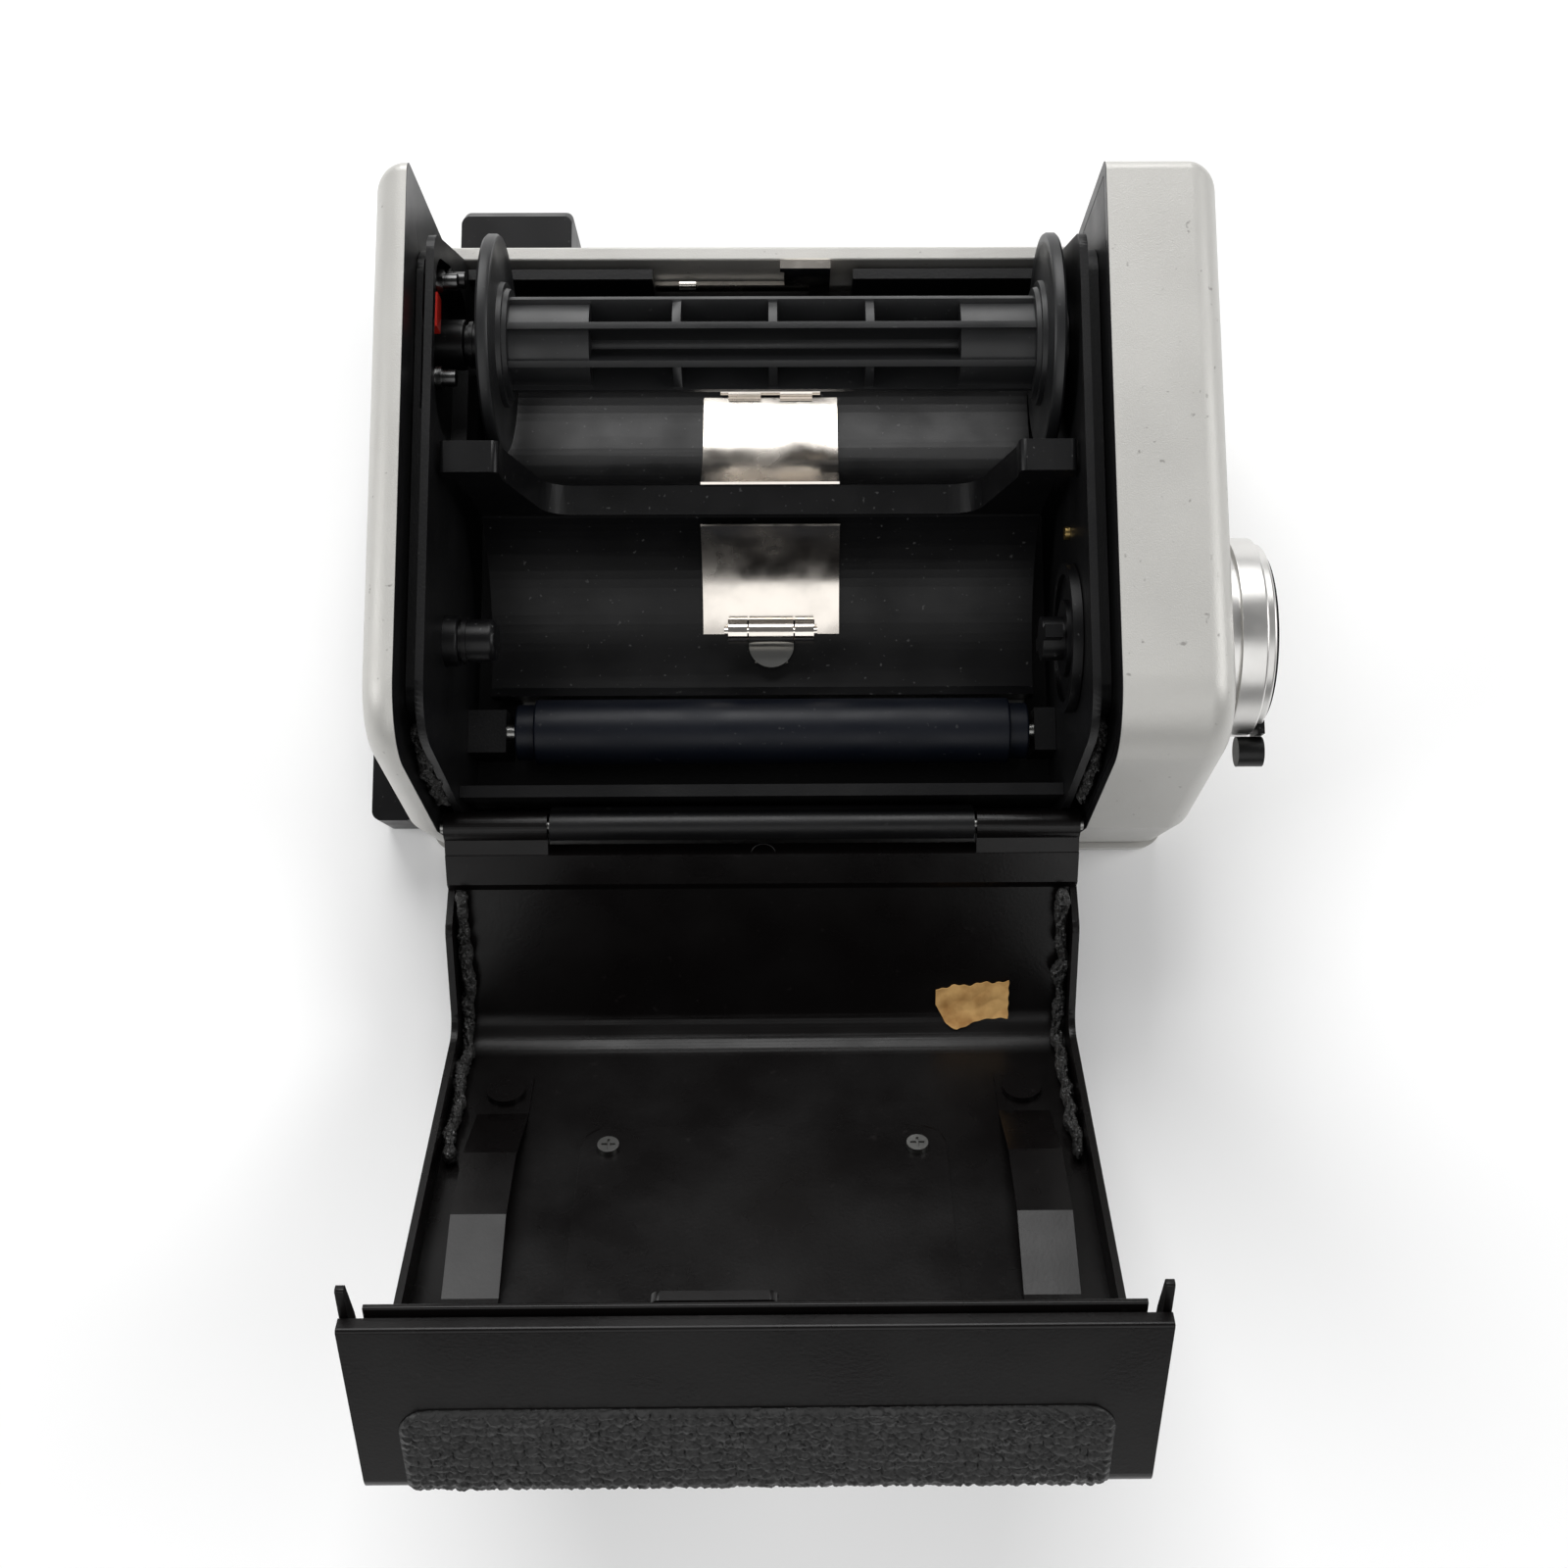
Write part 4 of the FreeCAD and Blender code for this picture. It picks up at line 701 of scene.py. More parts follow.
def perished_foam() -> bpy.types.Material:
    """Old light-seal foam: open cells, tarry glints, and painted shade that makes the cell pits
    blacker than the greyer cell walls.

    Returns:
        The material.
    """
    material = bpy.data.materials.new("perished_foam")
    material.use_nodes = True
    tree = material.node_tree
    tree.nodes.clear()
    out = tree.nodes.new("ShaderNodeOutputMaterial")
    out.label = "foam surface"
    shader = tree.nodes.new("ShaderNodeBsdfPrincipled")
    shader.label = "foam"
    place = tree.nodes.new("ShaderNodeTexCoord")
    place.label = "place on the seal"
    frame = tree.nodes.new("NodeFrame")
    frame.label = "open cells"
    cells = tree.nodes.new("ShaderNodeTexVoronoi")
    cells.label = "foam cells"
    cells.inputs["Scale"].default_value = 2600.0
    fuzz = tree.nodes.new("ShaderNodeTexNoise")
    fuzz.label = "torn cell walls"
    fuzz.inputs["Scale"].default_value = 4200.0
    fuzz.inputs["Detail"].default_value = 4.0
    bump = tree.nodes.new("ShaderNodeBump")
    bump.label = "cell relief"
    bump.inputs["Strength"].default_value = 0.9
    bump.inputs["Distance"].default_value = 0.0002
    tar = tree.nodes.new("ShaderNodeMapRange")
    tar.label = "sticky, shiny crumbs"
    tar.inputs["From Min"].default_value = 0.35
    tar.inputs["From Max"].default_value = 0.65
    tar.inputs["To Min"].default_value = 0.22
    tar.inputs["To Max"].default_value = 0.9
    # painted shade: the colour follows the cell relief, black in the pits and grey on the raised
    # cell walls
    tone = tree.nodes.new("ShaderNodeMix")
    tone.label = "black foam, cell pits painted darker as shade"
    tone.data_type = "RGBA"
    tone.inputs["A"].default_value = (0.002, 0.002, 0.002, 1)
    tone.inputs["B"].default_value = (0.030, 0.029, 0.028, 1)
    for node in (cells, fuzz, bump, tar, tone):
        node.parent = frame
    links = tree.links
    links.new(place.outputs["Object"], cells.inputs["Vector"])
    links.new(place.outputs["Object"], fuzz.inputs["Vector"])
    links.new(cells.outputs["Distance"], bump.inputs["Height"])
    links.new(fuzz.outputs["Fac"], tar.inputs["Value"])
    links.new(tar.outputs["Result"], shader.inputs["Roughness"])
    # painted shade: the cell depth that shapes the bump also darkens the pits
    links.new(cells.outputs["Distance"], tone.inputs["Factor"])
    links.new(tone.outputs["Result"], shader.inputs["Base Color"])
    links.new(bump.outputs["Normal"], shader.inputs["Normal"])
    links.new(shader.outputs["BSDF"], out.inputs["Surface"])
    lay_out(tree)
    return material


def masking_tape() -> bpy.types.Material:
    """Aged tan tape: crepe wrinkles and darker stains.

    Returns:
        The material.
    """
    material = bpy.data.materials.new("masking_tape")
    material.use_nodes = True
    tree = material.node_tree
    tree.nodes.clear()
    out = tree.nodes.new("ShaderNodeOutputMaterial")
    out.label = "tape surface"
    shader = tree.nodes.new("ShaderNodeBsdfPrincipled")
    shader.label = "crepe paper"
    shader.inputs["Roughness"].default_value = 0.7
    place = tree.nodes.new("ShaderNodeTexCoord")
    place.label = "place on the tape"
    frame = tree.nodes.new("NodeFrame")
    frame.label = "crepe and stains"
    stretch = tree.nodes.new("ShaderNodeMapping")
    stretch.label = "wrinkles run across the strip"
    stretch.inputs["Scale"].default_value = (2600.0, 500.0, 500.0)
    crepe = tree.nodes.new("ShaderNodeTexNoise")
    crepe.label = "crepe wrinkles"
    crepe.inputs["Scale"].default_value = 1.0
    crepe.inputs["Detail"].default_value = 3.0
    bump = tree.nodes.new("ShaderNodeBump")
    bump.label = "wrinkle relief"
    bump.inputs["Strength"].default_value = 0.5
    bump.inputs["Distance"].default_value = 0.00005
    stain = tree.nodes.new("ShaderNodeTexNoise")
    stain.label = "glue stains"
    stain.inputs["Scale"].default_value = 420.0
    stain.inputs["Detail"].default_value = 4.0
    tone = tree.nodes.new("ShaderNodeValToRGB")
    tone.label = "tan to amber"
    tone.color_ramp.elements[0].position = 0.3
    tone.color_ramp.elements[0].color = (0.34, 0.17, 0.045, 1)
    tone.color_ramp.elements[1].position = 0.62
    tone.color_ramp.elements[1].color = (0.60, 0.36, 0.13, 1)
    for node in (stretch, crepe, bump, stain, tone):
        node.parent = frame
    links = tree.links
    links.new(place.outputs["Object"], stretch.inputs["Vector"])
    links.new(stretch.outputs["Vector"], crepe.inputs["Vector"])
    links.new(crepe.outputs["Fac"], bump.inputs["Height"])
    links.new(place.outputs["Object"], stain.inputs["Vector"])
    links.new(stain.outputs["Fac"], tone.inputs["Fac"])
    links.new(tone.outputs["Color"], shader.inputs["Base Color"])
    links.new(bump.outputs["Normal"], shader.inputs["Normal"])
    links.new(shader.outputs["BSDF"], out.inputs["Surface"])
    lay_out(tree)
    return material


def lay_out(tree: bpy.types.NodeTree) -> None:
    """Spread a tree's nodes out in columns so that they can be read.

    Args:
        tree: The material's nodes.
    """
    step, rows = 260, 4
    nodes = [node for node in tree.nodes if node.type != "FRAME"]
    for index, node in enumerate(nodes):
        node.location = (-step * (index // rows), -step * (index % rows))


@dataclass
class Finishes:
    """Every finish of the magazine, and which CAD node wears which."""

    silver: Paint = Paint("silver_paint", (0.50, 0.492, 0.468), 0.38, 0.14, 0.5, 0.25,
                          (0.16, 0.15, 0.14), 0.6, dark_beyond=(-39.76, 37.16))
    strip: Paint = Paint("silver_strip", (0.54, 0.53, 0.505), 0.34, 0.16, 0.3, 0.4,
                         (0.2, 0.19, 0.18), 0.5)
    black: Paint = Paint("black_paint", (0.0032, 0.0032, 0.0036), 0.42, 0.3, 0.35, 0.0,
                         (0.05, 0.05, 0.05), 0.2, specular=0.30)
    enamel: Paint = Paint("door_enamel", (0.0026, 0.0021, 0.0021), 0.30, 0.4, 0.2, 0.0,
                          (0.04, 0.035, 0.035), 0.12, specular=0.24)
    crank: Paint = Paint("crank_black", (0.003, 0.003, 0.003), 0.35, 0.3, 0.2, specular=0.3)
    plastic: Plastic = Plastic("black_plastic", (0.0030, 0.0030, 0.0034), 0.38)
    spool: Plastic = Plastic("spool_plastic", (0.0090, 0.0093, 0.0100), 0.40, 0.06, 0.4)
    roller: Plastic = Plastic("roller_blue", (0.0026, 0.0040, 0.0085), 0.46, 0.1)
    red: Plastic = Plastic("red_plastic", (0.50, 0.02, 0.012), 0.35, 0.1)
    chrome: Metal = Metal("bright_nickel", (0.78, 0.735, 0.68), 0.09, (300.0, 5200.0, 5200.0), 0.08)
    plate: Metal = Metal("brushed_nickel", (0.76, 0.71, 0.65), 0.16, (5200.0, 260.0, 260.0), 0.14)
    steel: Metal = Metal("dull_steel", (0.30, 0.30, 0.29), 0.28, (900.0, 900.0, 900.0), 0.1)
    gunmetal: Metal = Metal("dark_posts", (0.09, 0.09, 0.09), 0.22, (900.0, 900.0, 900.0), 0.1)
    aluminium: Metal = Metal("satin_aluminium", (0.74, 0.73, 0.71), 0.30,
                             (500.0, 3500.0, 3500.0), 0.08)
    brass: Metal = Metal("plain_brass", (0.62, 0.44, 0.17), 0.25, (900.0, 2200.0, 2200.0), 0.2)
    made: dict[str, bpy.types.Material] = field(default_factory=dict)

    WEARERS: ClassVar[dict[str, str]] = {
        "silver": "left_side_cover right_gear_housing",
        "strip": "top_cover mount_plate",
        "black": "bottom_cover front_frame left_liner right_liner roller_brackets slide_guides "
                 "mechanism_plate hinge_bar dark_slide_blade",
        "plastic": "film_insert dark_slide_handle latch_button knob_insert supply_drive "
                   "takeup_key supply_plunger takeup_plunger",
        "spool": "takeup_spool",
        "enamel": "door_shell door_spring_left door_spring_right spring_rivets catch_tab "
                  "memo_frame memo_backing",
        "roller": "lower_roller upper_roller",
        "chrome": "spring_bracket leaf_pins top_rivet",
        "plate": "lower_spring_plate upper_spring_plate latch_bar",
        "gunmetal": "gauge_posts",
        "steel": "memo_screws spring_screw mount_plate_screws film_rails pressure_plate "
                 "roller_axles hinge_pin idler_stud pressure_springs",
        "aluminium": "winding_knob",
        "crank": "knob_crank",
        "brass": "brass_pin knob_gear idler_gear takeup_gear",
        "red": "gauge_flag",
        "leather": "door_leather",
        "foam": "door_foam body_foam",
        "paper": "paper_scrap",
    }

    def make(self) -> None:
        """Make each material once."""
        for name in ("silver", "strip", "black", "enamel", "crank"):
            self.made[name] = painted(getattr(self, name))
        for name in ("plastic", "spool", "roller", "red"):
            self.made[name] = moulded(getattr(self, name))
        for name in ("chrome", "plate", "steel", "gunmetal", "aluminium", "brass"):
            self.made[name] = bare_metal(getattr(self, name))
        self.made["leather"] = leatherette()
        self.made["foam"] = perished_foam()
        self.made["paper"] = masking_tape()

    def dress(self, nodes: dict[str, bpy.types.Object]) -> None:
        """Give every CAD node its finish.

        Args:
            nodes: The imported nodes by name.
        """
        for finish, names in self.WEARERS.items():
            for name in names.split():
                self.put(nodes[name], finish)

    def put(self, piece: bpy.types.Object, finish: str) -> None:
        """Replace a piece's materials by one finish."""
        piece.data.materials.clear()
        piece.data.materials.append(self.made[finish])


# ------------------------------------------------------------------ eased copies of CAD nodes


@dataclass
class EasedNodes:
    """Copies of sharp CAD nodes with their edges broken, as tooling and paint leave them.

    Each entry is node: (body, edge width in mm, finish, slot). The copy's loose triangles are
    merged, a bevel modifier rounds the edges that are steeper than bevel_degrees, and weighted
    normals keep the flat faces flat.
    """

    finishes: Finishes
    widths: dict[str, tuple[str, float, str, str]]
    merge_within: float = 2e-7
    sharp_degrees: float = 32.0
    bevel_degrees: float = 30.0
    bevel_rows: int = 2
    flat_weight: int = 100

    def build(self, nodes: dict[str, bpy.types.Object]) -> None:
        """Copy, ease and dress every listed node.

        Args:
            nodes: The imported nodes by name.
        """
        for name, (body, width, finish, slot) in self.widths.items():
            mesh = nodes[name].data.copy()
            shape = bmesh.new()
            shape.from_mesh(mesh)
            bmesh.ops.remove_doubles(shape, verts=shape.verts, dist=self.merge_within)
            shape.to_mesh(mesh)
            shape.free()
            mesh.shade_smooth()
            mesh.set_sharp_from_angle(angle=math.radians(self.sharp_degrees))
            piece = bpy.data.objects.new("eased_" + name, mesh)
            bpy.context.scene.collection.objects.link(piece)
            bevel = piece.modifiers.new("broken edges", "BEVEL")
            bevel.width = width * MM
            bevel.segments = self.bevel_rows
            bevel.limit_method = "ANGLE"
            bevel.angle_limit = math.radians(self.bevel_degrees)
            bevel.use_clamp_overlap = True
            even = piece.modifiers.new("flat faces stay flat", "WEIGHTED_NORMAL")
            even.keep_sharp = True
            even.weight = self.flat_weight
            self.finishes.put(piece, finish)
            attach(piece, body)
            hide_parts(name)
            LOG.info("eased %s", name)


# ------------------------------------------------------------------ take-up spool


@dataclass
class TakeUpSpool:
    """Ribbed roll-film spool, lengths in mm.

    The core is a surface r(angle, x): eight ribs stand at the outer radius, end blocks fill the
    gaps near the flanges, and cross-bars divide every second pair of gaps into windows.
    """

    middle: float = 0.2
    axis_y: float = 19.9
    axis_z: float = 30.6
    half: float = 32.75
    flange: float = 12.55
    flange_thick: float = 1.5
    rib: float = 5.7
    block: float = 5.15
    floor: float = 1.6
    socket: float = 2.95
    socket_end: float = 24.0
    turned: float = 1.7
    rib_half_angle: float = 4.2
    windows: tuple[float, ...] = (-20.9, -10.9, 0.1, 11.2, 21.6)
    bar_half: float = 0.5
    bar_below_rib: float = 0.25
    ribs: int = 8
    rib_pitch: float = 45.0
    flange_corners: int = 120
    moulded_edge: float = 0.09

    def radius(self, angle: Grid, x: Grid) -> Grid:
        """Core radius at an angle and a place along the spool.

        Ribs are centred every rib_pitch degrees; the gaps with an even number have cross-bars.

        Args:
            angle: Angle round the core, degrees.
            x: Place along the spool from its middle, mm.

        Returns:
            Radius, mm.
        """
        half_pitch = self.rib_pitch / 2
        from_rib = (angle + half_pitch) % self.rib_pitch - half_pitch
        on_rib = np.abs(from_rib) <= self.rib_half_angle
        gap = np.floor(angle / self.rib_pitch).astype(int) % self.ribs
        barred = (gap % 2) == 0
        low, high = self.windows[0], self.windows[-1]
        in_block = (x < low) | (x > high)
        on_bar = np.zeros_like(in_block)
        for bar in self.windows[1:-1]:
            on_bar |= np.abs(x - bar) <= self.bar_half
        deep = np.where(on_bar & barred, self.rib - self.bar_below_rib, self.floor)
        return np.where(on_rib, self.rib, np.where(in_block, self.block, deep))

    def stations(self) -> Grid:
        """Places along the spool, doubled at every step so that walls stand upright.

        Returns:
            Places from the spool's middle, mm, in rising order.
        """
        even_places, split = 70, 0.01
        inner = self.half - self.flange_thick
        steps = [self.windows[0], self.windows[-1]]
        for bar in self.windows[1:-1]:
            steps += [bar - self.bar_half, bar + self.bar_half]
        near = np.concatenate([[s - split, s + split] for s in steps])
        return np.unique(np.concatenate([np.linspace(-inner, inner, even_places), near]))

    def angles(self) -> Grid:
        """Angles round the core, doubled at every rib's sides.

        Returns:
            Angles in degrees from 0 to 360, in rising order.
        """
        side, split = self.rib_half_angle, 0.12
        one_rib = np.array([-side - split, -side + split, -2.5, 0.0, 2.5,
                            side - split, side + split, 12.0, 22.5, 33.0])
        sides = np.concatenate([self.rib_pitch * k + one_rib for k in range(self.ribs)])
        return np.unique(np.round(sides % 360.0, 4))

    def place(self, x: Grid, radius: Grid, degrees: Grid) -> Grid:
        """Points of the spool: a circle of the radius about its axis, at a place along it.

        Args:
            x: Place along the spool from its middle, mm.
            radius: Distance from the axis, mm.
            degrees: Angle round the axis.

        Returns:
            Points in metres, the last axis being x, y, z.
        """
        turn = np.radians(degrees + self.turned)
        y = self.axis_y + radius * np.sin(turn)
        z = self.axis_z + radius * np.cos(turn)
        return np.stack([x + self.middle, y, z], -1) * MM

    def build(self, finishes: Finishes) -> None:
        """Make the core and the two flanges, and stand them in for the CAD spool.

        Args:
            finishes: The finishes.
        """
        angle, x = self.angles(), self.stations()
        turn, along = np.meshgrid(angle, x, indexing="xy")
        radius = self.radius(turn, along)
        end = self.half - self.flange_thick
        sockets = ((end, self.socket), (self.socket_end, self.socket), (self.socket_end, 0.0))
        for at, size in sockets:
            low, high = np.full((1, len(angle)), -at), np.full((1, len(angle)), at)
            along = np.concatenate([low, along, high])
            radius = np.pad(radius, ((1, 1), (0, 0)), constant_values=size)
        turn = np.broadcast_to(angle, along.shape)
        core = self.place(along, radius, turn)
        faces = grid_faces(len(along), len(angle), wrap=True)
        piece = mesh_piece("spool_core", core.reshape(-1, 3), faces, 28.0)
        bevel = piece.modifiers.new("moulded edges", "BEVEL")
        bevel.width = self.moulded_edge * MM
        bevel.segments = 2
        bevel.limit_method = "ANGLE"
        bevel.angle_limit = math.radians(40)
        self.finish(piece, finishes)
        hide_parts("takeup_spool")
        for side in Side:
            self.finish(self.flange_piece(side), finishes)

    def flange_piece(self, side: Side) -> bpy.types.Object:
        """One flange: a turned profile with a rounded rim, a dished inner face and two step rings.

        Args:
            side: The end of the spool.

        Returns:
            The flange.
        """
        thick, rim = self.flange_thick, self.flange
        profile = np.array([
            (0.0, 3.1), (0.0, 6.2), (0.25, 6.6), (0.25, rim - 1.2), (0.0, rim - 0.8),
            (0.06, rim - 0.25), (0.32, rim), (thick - 0.35, rim),
            (thick - 0.06, rim - 0.2), (thick + 0.05, rim - 0.6),
            (thick - 0.15, rim - 1.3), (thick - 0.22, 9.2), (thick - 0.05, 7.9), (thick, 7.2),
            (thick + 0.55, 7.1), (thick + 0.6, 6.75), (thick + 0.6, 6.45), (thick + 1.1, 6.3),
            (thick + 1.15, 5.9), (thick + 1.15, 4.0), (thick + 1.15, 3.1), (0.0, 3.1)])
        around = np.linspace(0, 360, self.flange_corners + 1)[:-1]
        turn, row = np.meshgrid(around, np.arange(len(profile)), indexing="xy")
        x = side.value * (self.half - profile[row, 0])
        points = self.place(x, profile[row, 1], turn)
        return mesh_piece(f"spool_flange_{side.name.lower()}", points.reshape(-1, 3),
                          grid_faces(len(profile), self.flange_corners, wrap=True), 38.0)

    def finish(self, piece: bpy.types.Object, finishes: Finishes) -> None:
        """Dress a piece of the spool and make it turn with it.

        Args:
            piece: The core or a flange.
            finishes: The finishes.
        """
        finishes.put(piece, "spool")
        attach(piece, "takeup")
        LOG.info("made %s", piece.name)


# ------------------------------------------------------------------ soft pieces


@dataclass
class DoorCovering:
    """Pebbled covering, wrapped from the door's top flange round onto its rear panel, in mm."""

    door: DoorFrame
    left: float = -34.7
    wide: float = 66.8
    top: float = 35.62
    rear: float = 46.02
    free_edge: float = 33.3
    foot: float = -22.9
    bend: float = 2.7
    corner: float = 3.2
    sheet: float = 0.12
    relief: float = 0.46
    rim: float = 0.6
    tuck: float = 0.02
    large_cell: float = 1.15
    small_cell: float = 0.6
    step: float = 0.24
    columns: int = 281

    def build(self, finishes: Finishes) -> None:
        """Grid of the covering: across the door and along the wrapped profile.

        The outer face is lifted along the profile's normal by a pebble relief of large and small
        cells plus a slow ripple, and sinks to the sheet at its rim.

        Args:
            finishes: The finishes.
        """
        path = along_profile([(self.top, self.free_edge, 0), (self.top, self.rear, self.bend),
                              (self.foot, self.rear, 0)], self.step)
        length = path[-1, 4]
        share = np.linspace(-1, 1, self.columns)
        run = path[:, 4]
        rise = np.sqrt(np.maximum(self.corner**2 - (self.corner - run) ** 2, 0))
        inset = np.where(run < self.corner, self.corner - rise, 0.0)
        x = self.left + self.wide / 2 + share[None, :] * (self.wide / 2 - inset[:, None])
        at = np.broadcast_to(run[:, None], x.shape)
        flat = np.zeros_like(x)
        bent = x + 0.25 * ripple(x, at, flat, 5, 12, 3.0)
        height = pebbles(bent, at * 1.05, self.large_cell, 11)
        height = 0.75 * height ** 0.6 + 0.25 * pebbles(x + 40, at + 9, self.small_cell, 12)
        height += 0.08 * ripple(x, at, flat, 3, 18, 4.0)
        from_side = (1 - np.abs(share))[None, :] * self.wide / 2 + flat
        edge = np.minimum.reduce([from_side, at, length - at])
        lift = self.sheet + self.relief * height * np.clip(edge / self.rim, 0, 1)
        y, z = path[:, 0][:, None], path[:, 1][:, None]
        ny, nz = path[:, 2][:, None], path[:, 3][:, None]
        sign = np.sign(ny[0, 0])
        outer = self.door.opened(x, y + sign * ny * lift, z + sign * nz * lift)
        inner = self.door.opened(x, y - self.tuck * sign * ny, z - self.tuck * sign * nz)
        points, faces = slab(outer, inner)
        piece = mesh_piece("grained_covering", points, faces, 60.0)
        finishes.put(piece, "leather")
        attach(piece, "door")
        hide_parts("door_leather")
        LOG.info("made %s", piece.name)


@dataclass
class FoamSeals:
    """Crumbling light-seal foam, lengths in mm.

    One pair lies in the door's side channels, the other at the body's lower corners.
    """

    door: DoorFrame
    section_corners: int = 28
    door_step: float = 0.28
    body_step: float = 0.26
    body_tall: float = 1.5
    fill: float = 0.35

    def strip(
        self, name: str, centre: Grid, wide: Grid, tall: Grid, seed: int, to_door: bool
    ) -> bpy.types.Object:
        """Foam tube along a path in the (y, z) plane.

        The section is a rounded box, |u|^3 + |v|^3 = 1, whose radius is shaken by two random
        ripples; the ends close to a point.

        Args:
            name: Name of the piece.
            centre: Rows of x, y, z along the strip.
            wide: Half width at each row.
            tall: Half height at each row.
            seed: Seed of the crumbs.
            to_door: Whether the path is drawn in the shut door.

        Returns:
            The foam strip.
        """
        along = np.concatenate([[0], np.cumsum(np.linalg.norm(np.diff(centre, axis=0), axis=1))])
        tangent = np.gradient(centre, axis=0)
        tangent /= np.linalg.norm(tangent, axis=1, keepdims=True)
        normal = np.stack([np.zeros_like(along), tangent[:, 2], -tangent[:, 1]], -1)
        turn = np.linspace(0, 2 * np.pi, self.section_corners + 1)[:-1]
        c, s = np.cos(turn), np.sin(turn)
        box = (np.abs(c) ** 3 + np.abs(s) ** 3) ** (-1 / 3)
        u, v = box * c, box * s
        closing = np.clip(np.minimum(along, along[-1] - along) / 0.6, 0, 1) ** 0.5
        grid = (centre[:, None, :]
                + (u[None, :] * (wide * closing)[:, None])[..., None] * np.array([1.0, 0, 0])
                + (v[None, :] * (tall * closing)[:, None])[..., None] * normal[:, None, :])
        crumb = 1 + 0.34 * ripple(*np.moveaxis(grid, -1, 0), seed, 30, 0.5) \
            + 0.16 * ripple(*np.moveaxis(grid, -1, 0), seed + 1, 20, 2.2)
        crumb = np.clip(crumb, 0.55, 1.18)[..., None]
        grid = centre[:, None, :] + (grid - centre[:, None, :]) * crumb
        if to_door:
            points = self.door.opened(grid[..., 0], grid[..., 1], grid[..., 2])
        else:
            points = grid * MM
        faces = grid_faces(len(centre), self.section_corners, wrap=True)
        return mesh_piece(name, points.reshape(-1, 3), faces, 60.0)

    def build(self, finishes: Finishes) -> None:
        """Make the two seals of the door and the two of the body, each with its own crumbs.

        Args:
            finishes: The finishes.
        """
        for side, x in ((Side.LEFT, -37.15), (Side.RIGHT, 34.55)):
            path = along_profile([(-30.9, 24.0, 0), (-27.4, 43.3, 4.0), (-6.0, 43.3, 0)],
                                 self.door_step)
            run, flat = path[:, 4], np.zeros(len(path))
            spread = 0.25 * ripple(run, flat, flat, 31 + side.value, 9, 5.0)
            centre = np.stack([x + spread, path[:, 0], path[:, 1]], -1)
            wide = 0.62 + 0.16 * ripple(run, flat, flat, 41 + side.value, 9, 3.0)
            piece = self.strip(f"door_seal_{side.name.lower()}", centre, wide, 0.55 + 0.5 * wide,
                               51 + side.value, True)
            self.finish(piece, "door", finishes)
            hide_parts("door_foam")
        for side, x in ((Side.LEFT, -38.6), (Side.RIGHT, 36.2)):
            path = along_profile([(-25.5, 36.6, 0), (-28.6, 33.0, 3.0), (-31.6, 19.5, 0)],
                                 self.body_step)
            run, flat = path[:, 4], np.zeros(len(path))
            shake = 0.2 * ripple(run, flat, flat, 61 + side.value, 9, 4.0)
            centre = np.stack([x + shake, path[:, 0], path[:, 1]], -1)
            wide = (0.85 if side is Side.LEFT else 0.6) + 0.15 * shake
            tall = np.full_like(wide, self.body_tall)
            piece = self.strip(f"body_seal_{side.name.lower()}", centre, wide, tall,
                               71 + side.value, False)
            self.finish(piece, "magazine", finishes)
            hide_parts("body_foam")

    def finish(self, piece: bpy.types.Object, body: str, finishes: Finishes) -> None:
        """Args:
            piece: The seal.
            body: Name of the body it rides on.
            finishes: The finishes.
        """
        finishes.put(piece, "foam")
        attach(piece, body)
        LOG.info("made %s", piece.name)


@dataclass
class TapeScrap:
    """Torn scrap of tape on the door's sloped foot, its lower edge lifting at the bend, in mm."""

    door: DoorFrame
    left: float = 19.7
    wide: float = 8.9
    low_z: float = 37.2
    thick: float = 0.12

    def floor_y(self, z: Grid) -> Grid:
        """Inner face of the sloped foot: a straight slope, then a parabola where it bends up.

        Args:
            z: Depth with the door shut, mm.

        Returns:
            Height with the door shut, mm.
        """
        grade = FOOT_RISE / FOOT_RUN
        slope = -28.0 + grade * (z - 46.0) + 0.06
        rise = np.maximum(z - 40.4, 0.0)
        return slope + 0.115 * rise ** 2

    def build(self, finishes: Finishes) -> None:
        """Grid of the scrap: s across the strip and t along it, with torn, wavy ends.

        Args:
            finishes: The finishes.
        """
        s, t = np.meshgrid(np.linspace(0, 1, 54), np.linspace(0, 1, 40), indexing="xy")
        top = 0.9 - 0.95 * s + 0.14 * np.sin(17 * s) + 0.1 * np.sin(41 * s + 1)
        foot = np.interp(s, [0, 0.14, 0.3, 0.62, 1.0], [2.9, 5.3, 5.9, 4.9, 4.6])
        foot = foot + 0.06 * np.sin(33 * s)
        x = self.left + self.wide * s + 0.05 * np.sin(23 * t) * (s > 0.9)
        z = self.low_z + top + (foot - top) * t
        wave = 0.05 * ripple(x, z, np.zeros_like(x), 8, 16, 3.0)
        right_curl = 0.25 * np.clip((s - 0.82) / 0.18, 0, 1) ** 2
        left_curl = 0.2 * np.clip((0.1 - s) / 0.1, 0, 1) ** 2
        y = self.floor_y(z) + 0.1 + np.abs(wave) + (right_curl + left_curl)
        points, faces = slab(self.door.opened(x, y + self.thick, z), self.door.opened(x, y, z))
        piece = mesh_piece("torn_tape", points, faces, 60.0)
        finishes.put(piece, "paper")
        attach(piece, "door")
        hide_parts("paper_scrap")
        LOG.info("made %s", piece.name)


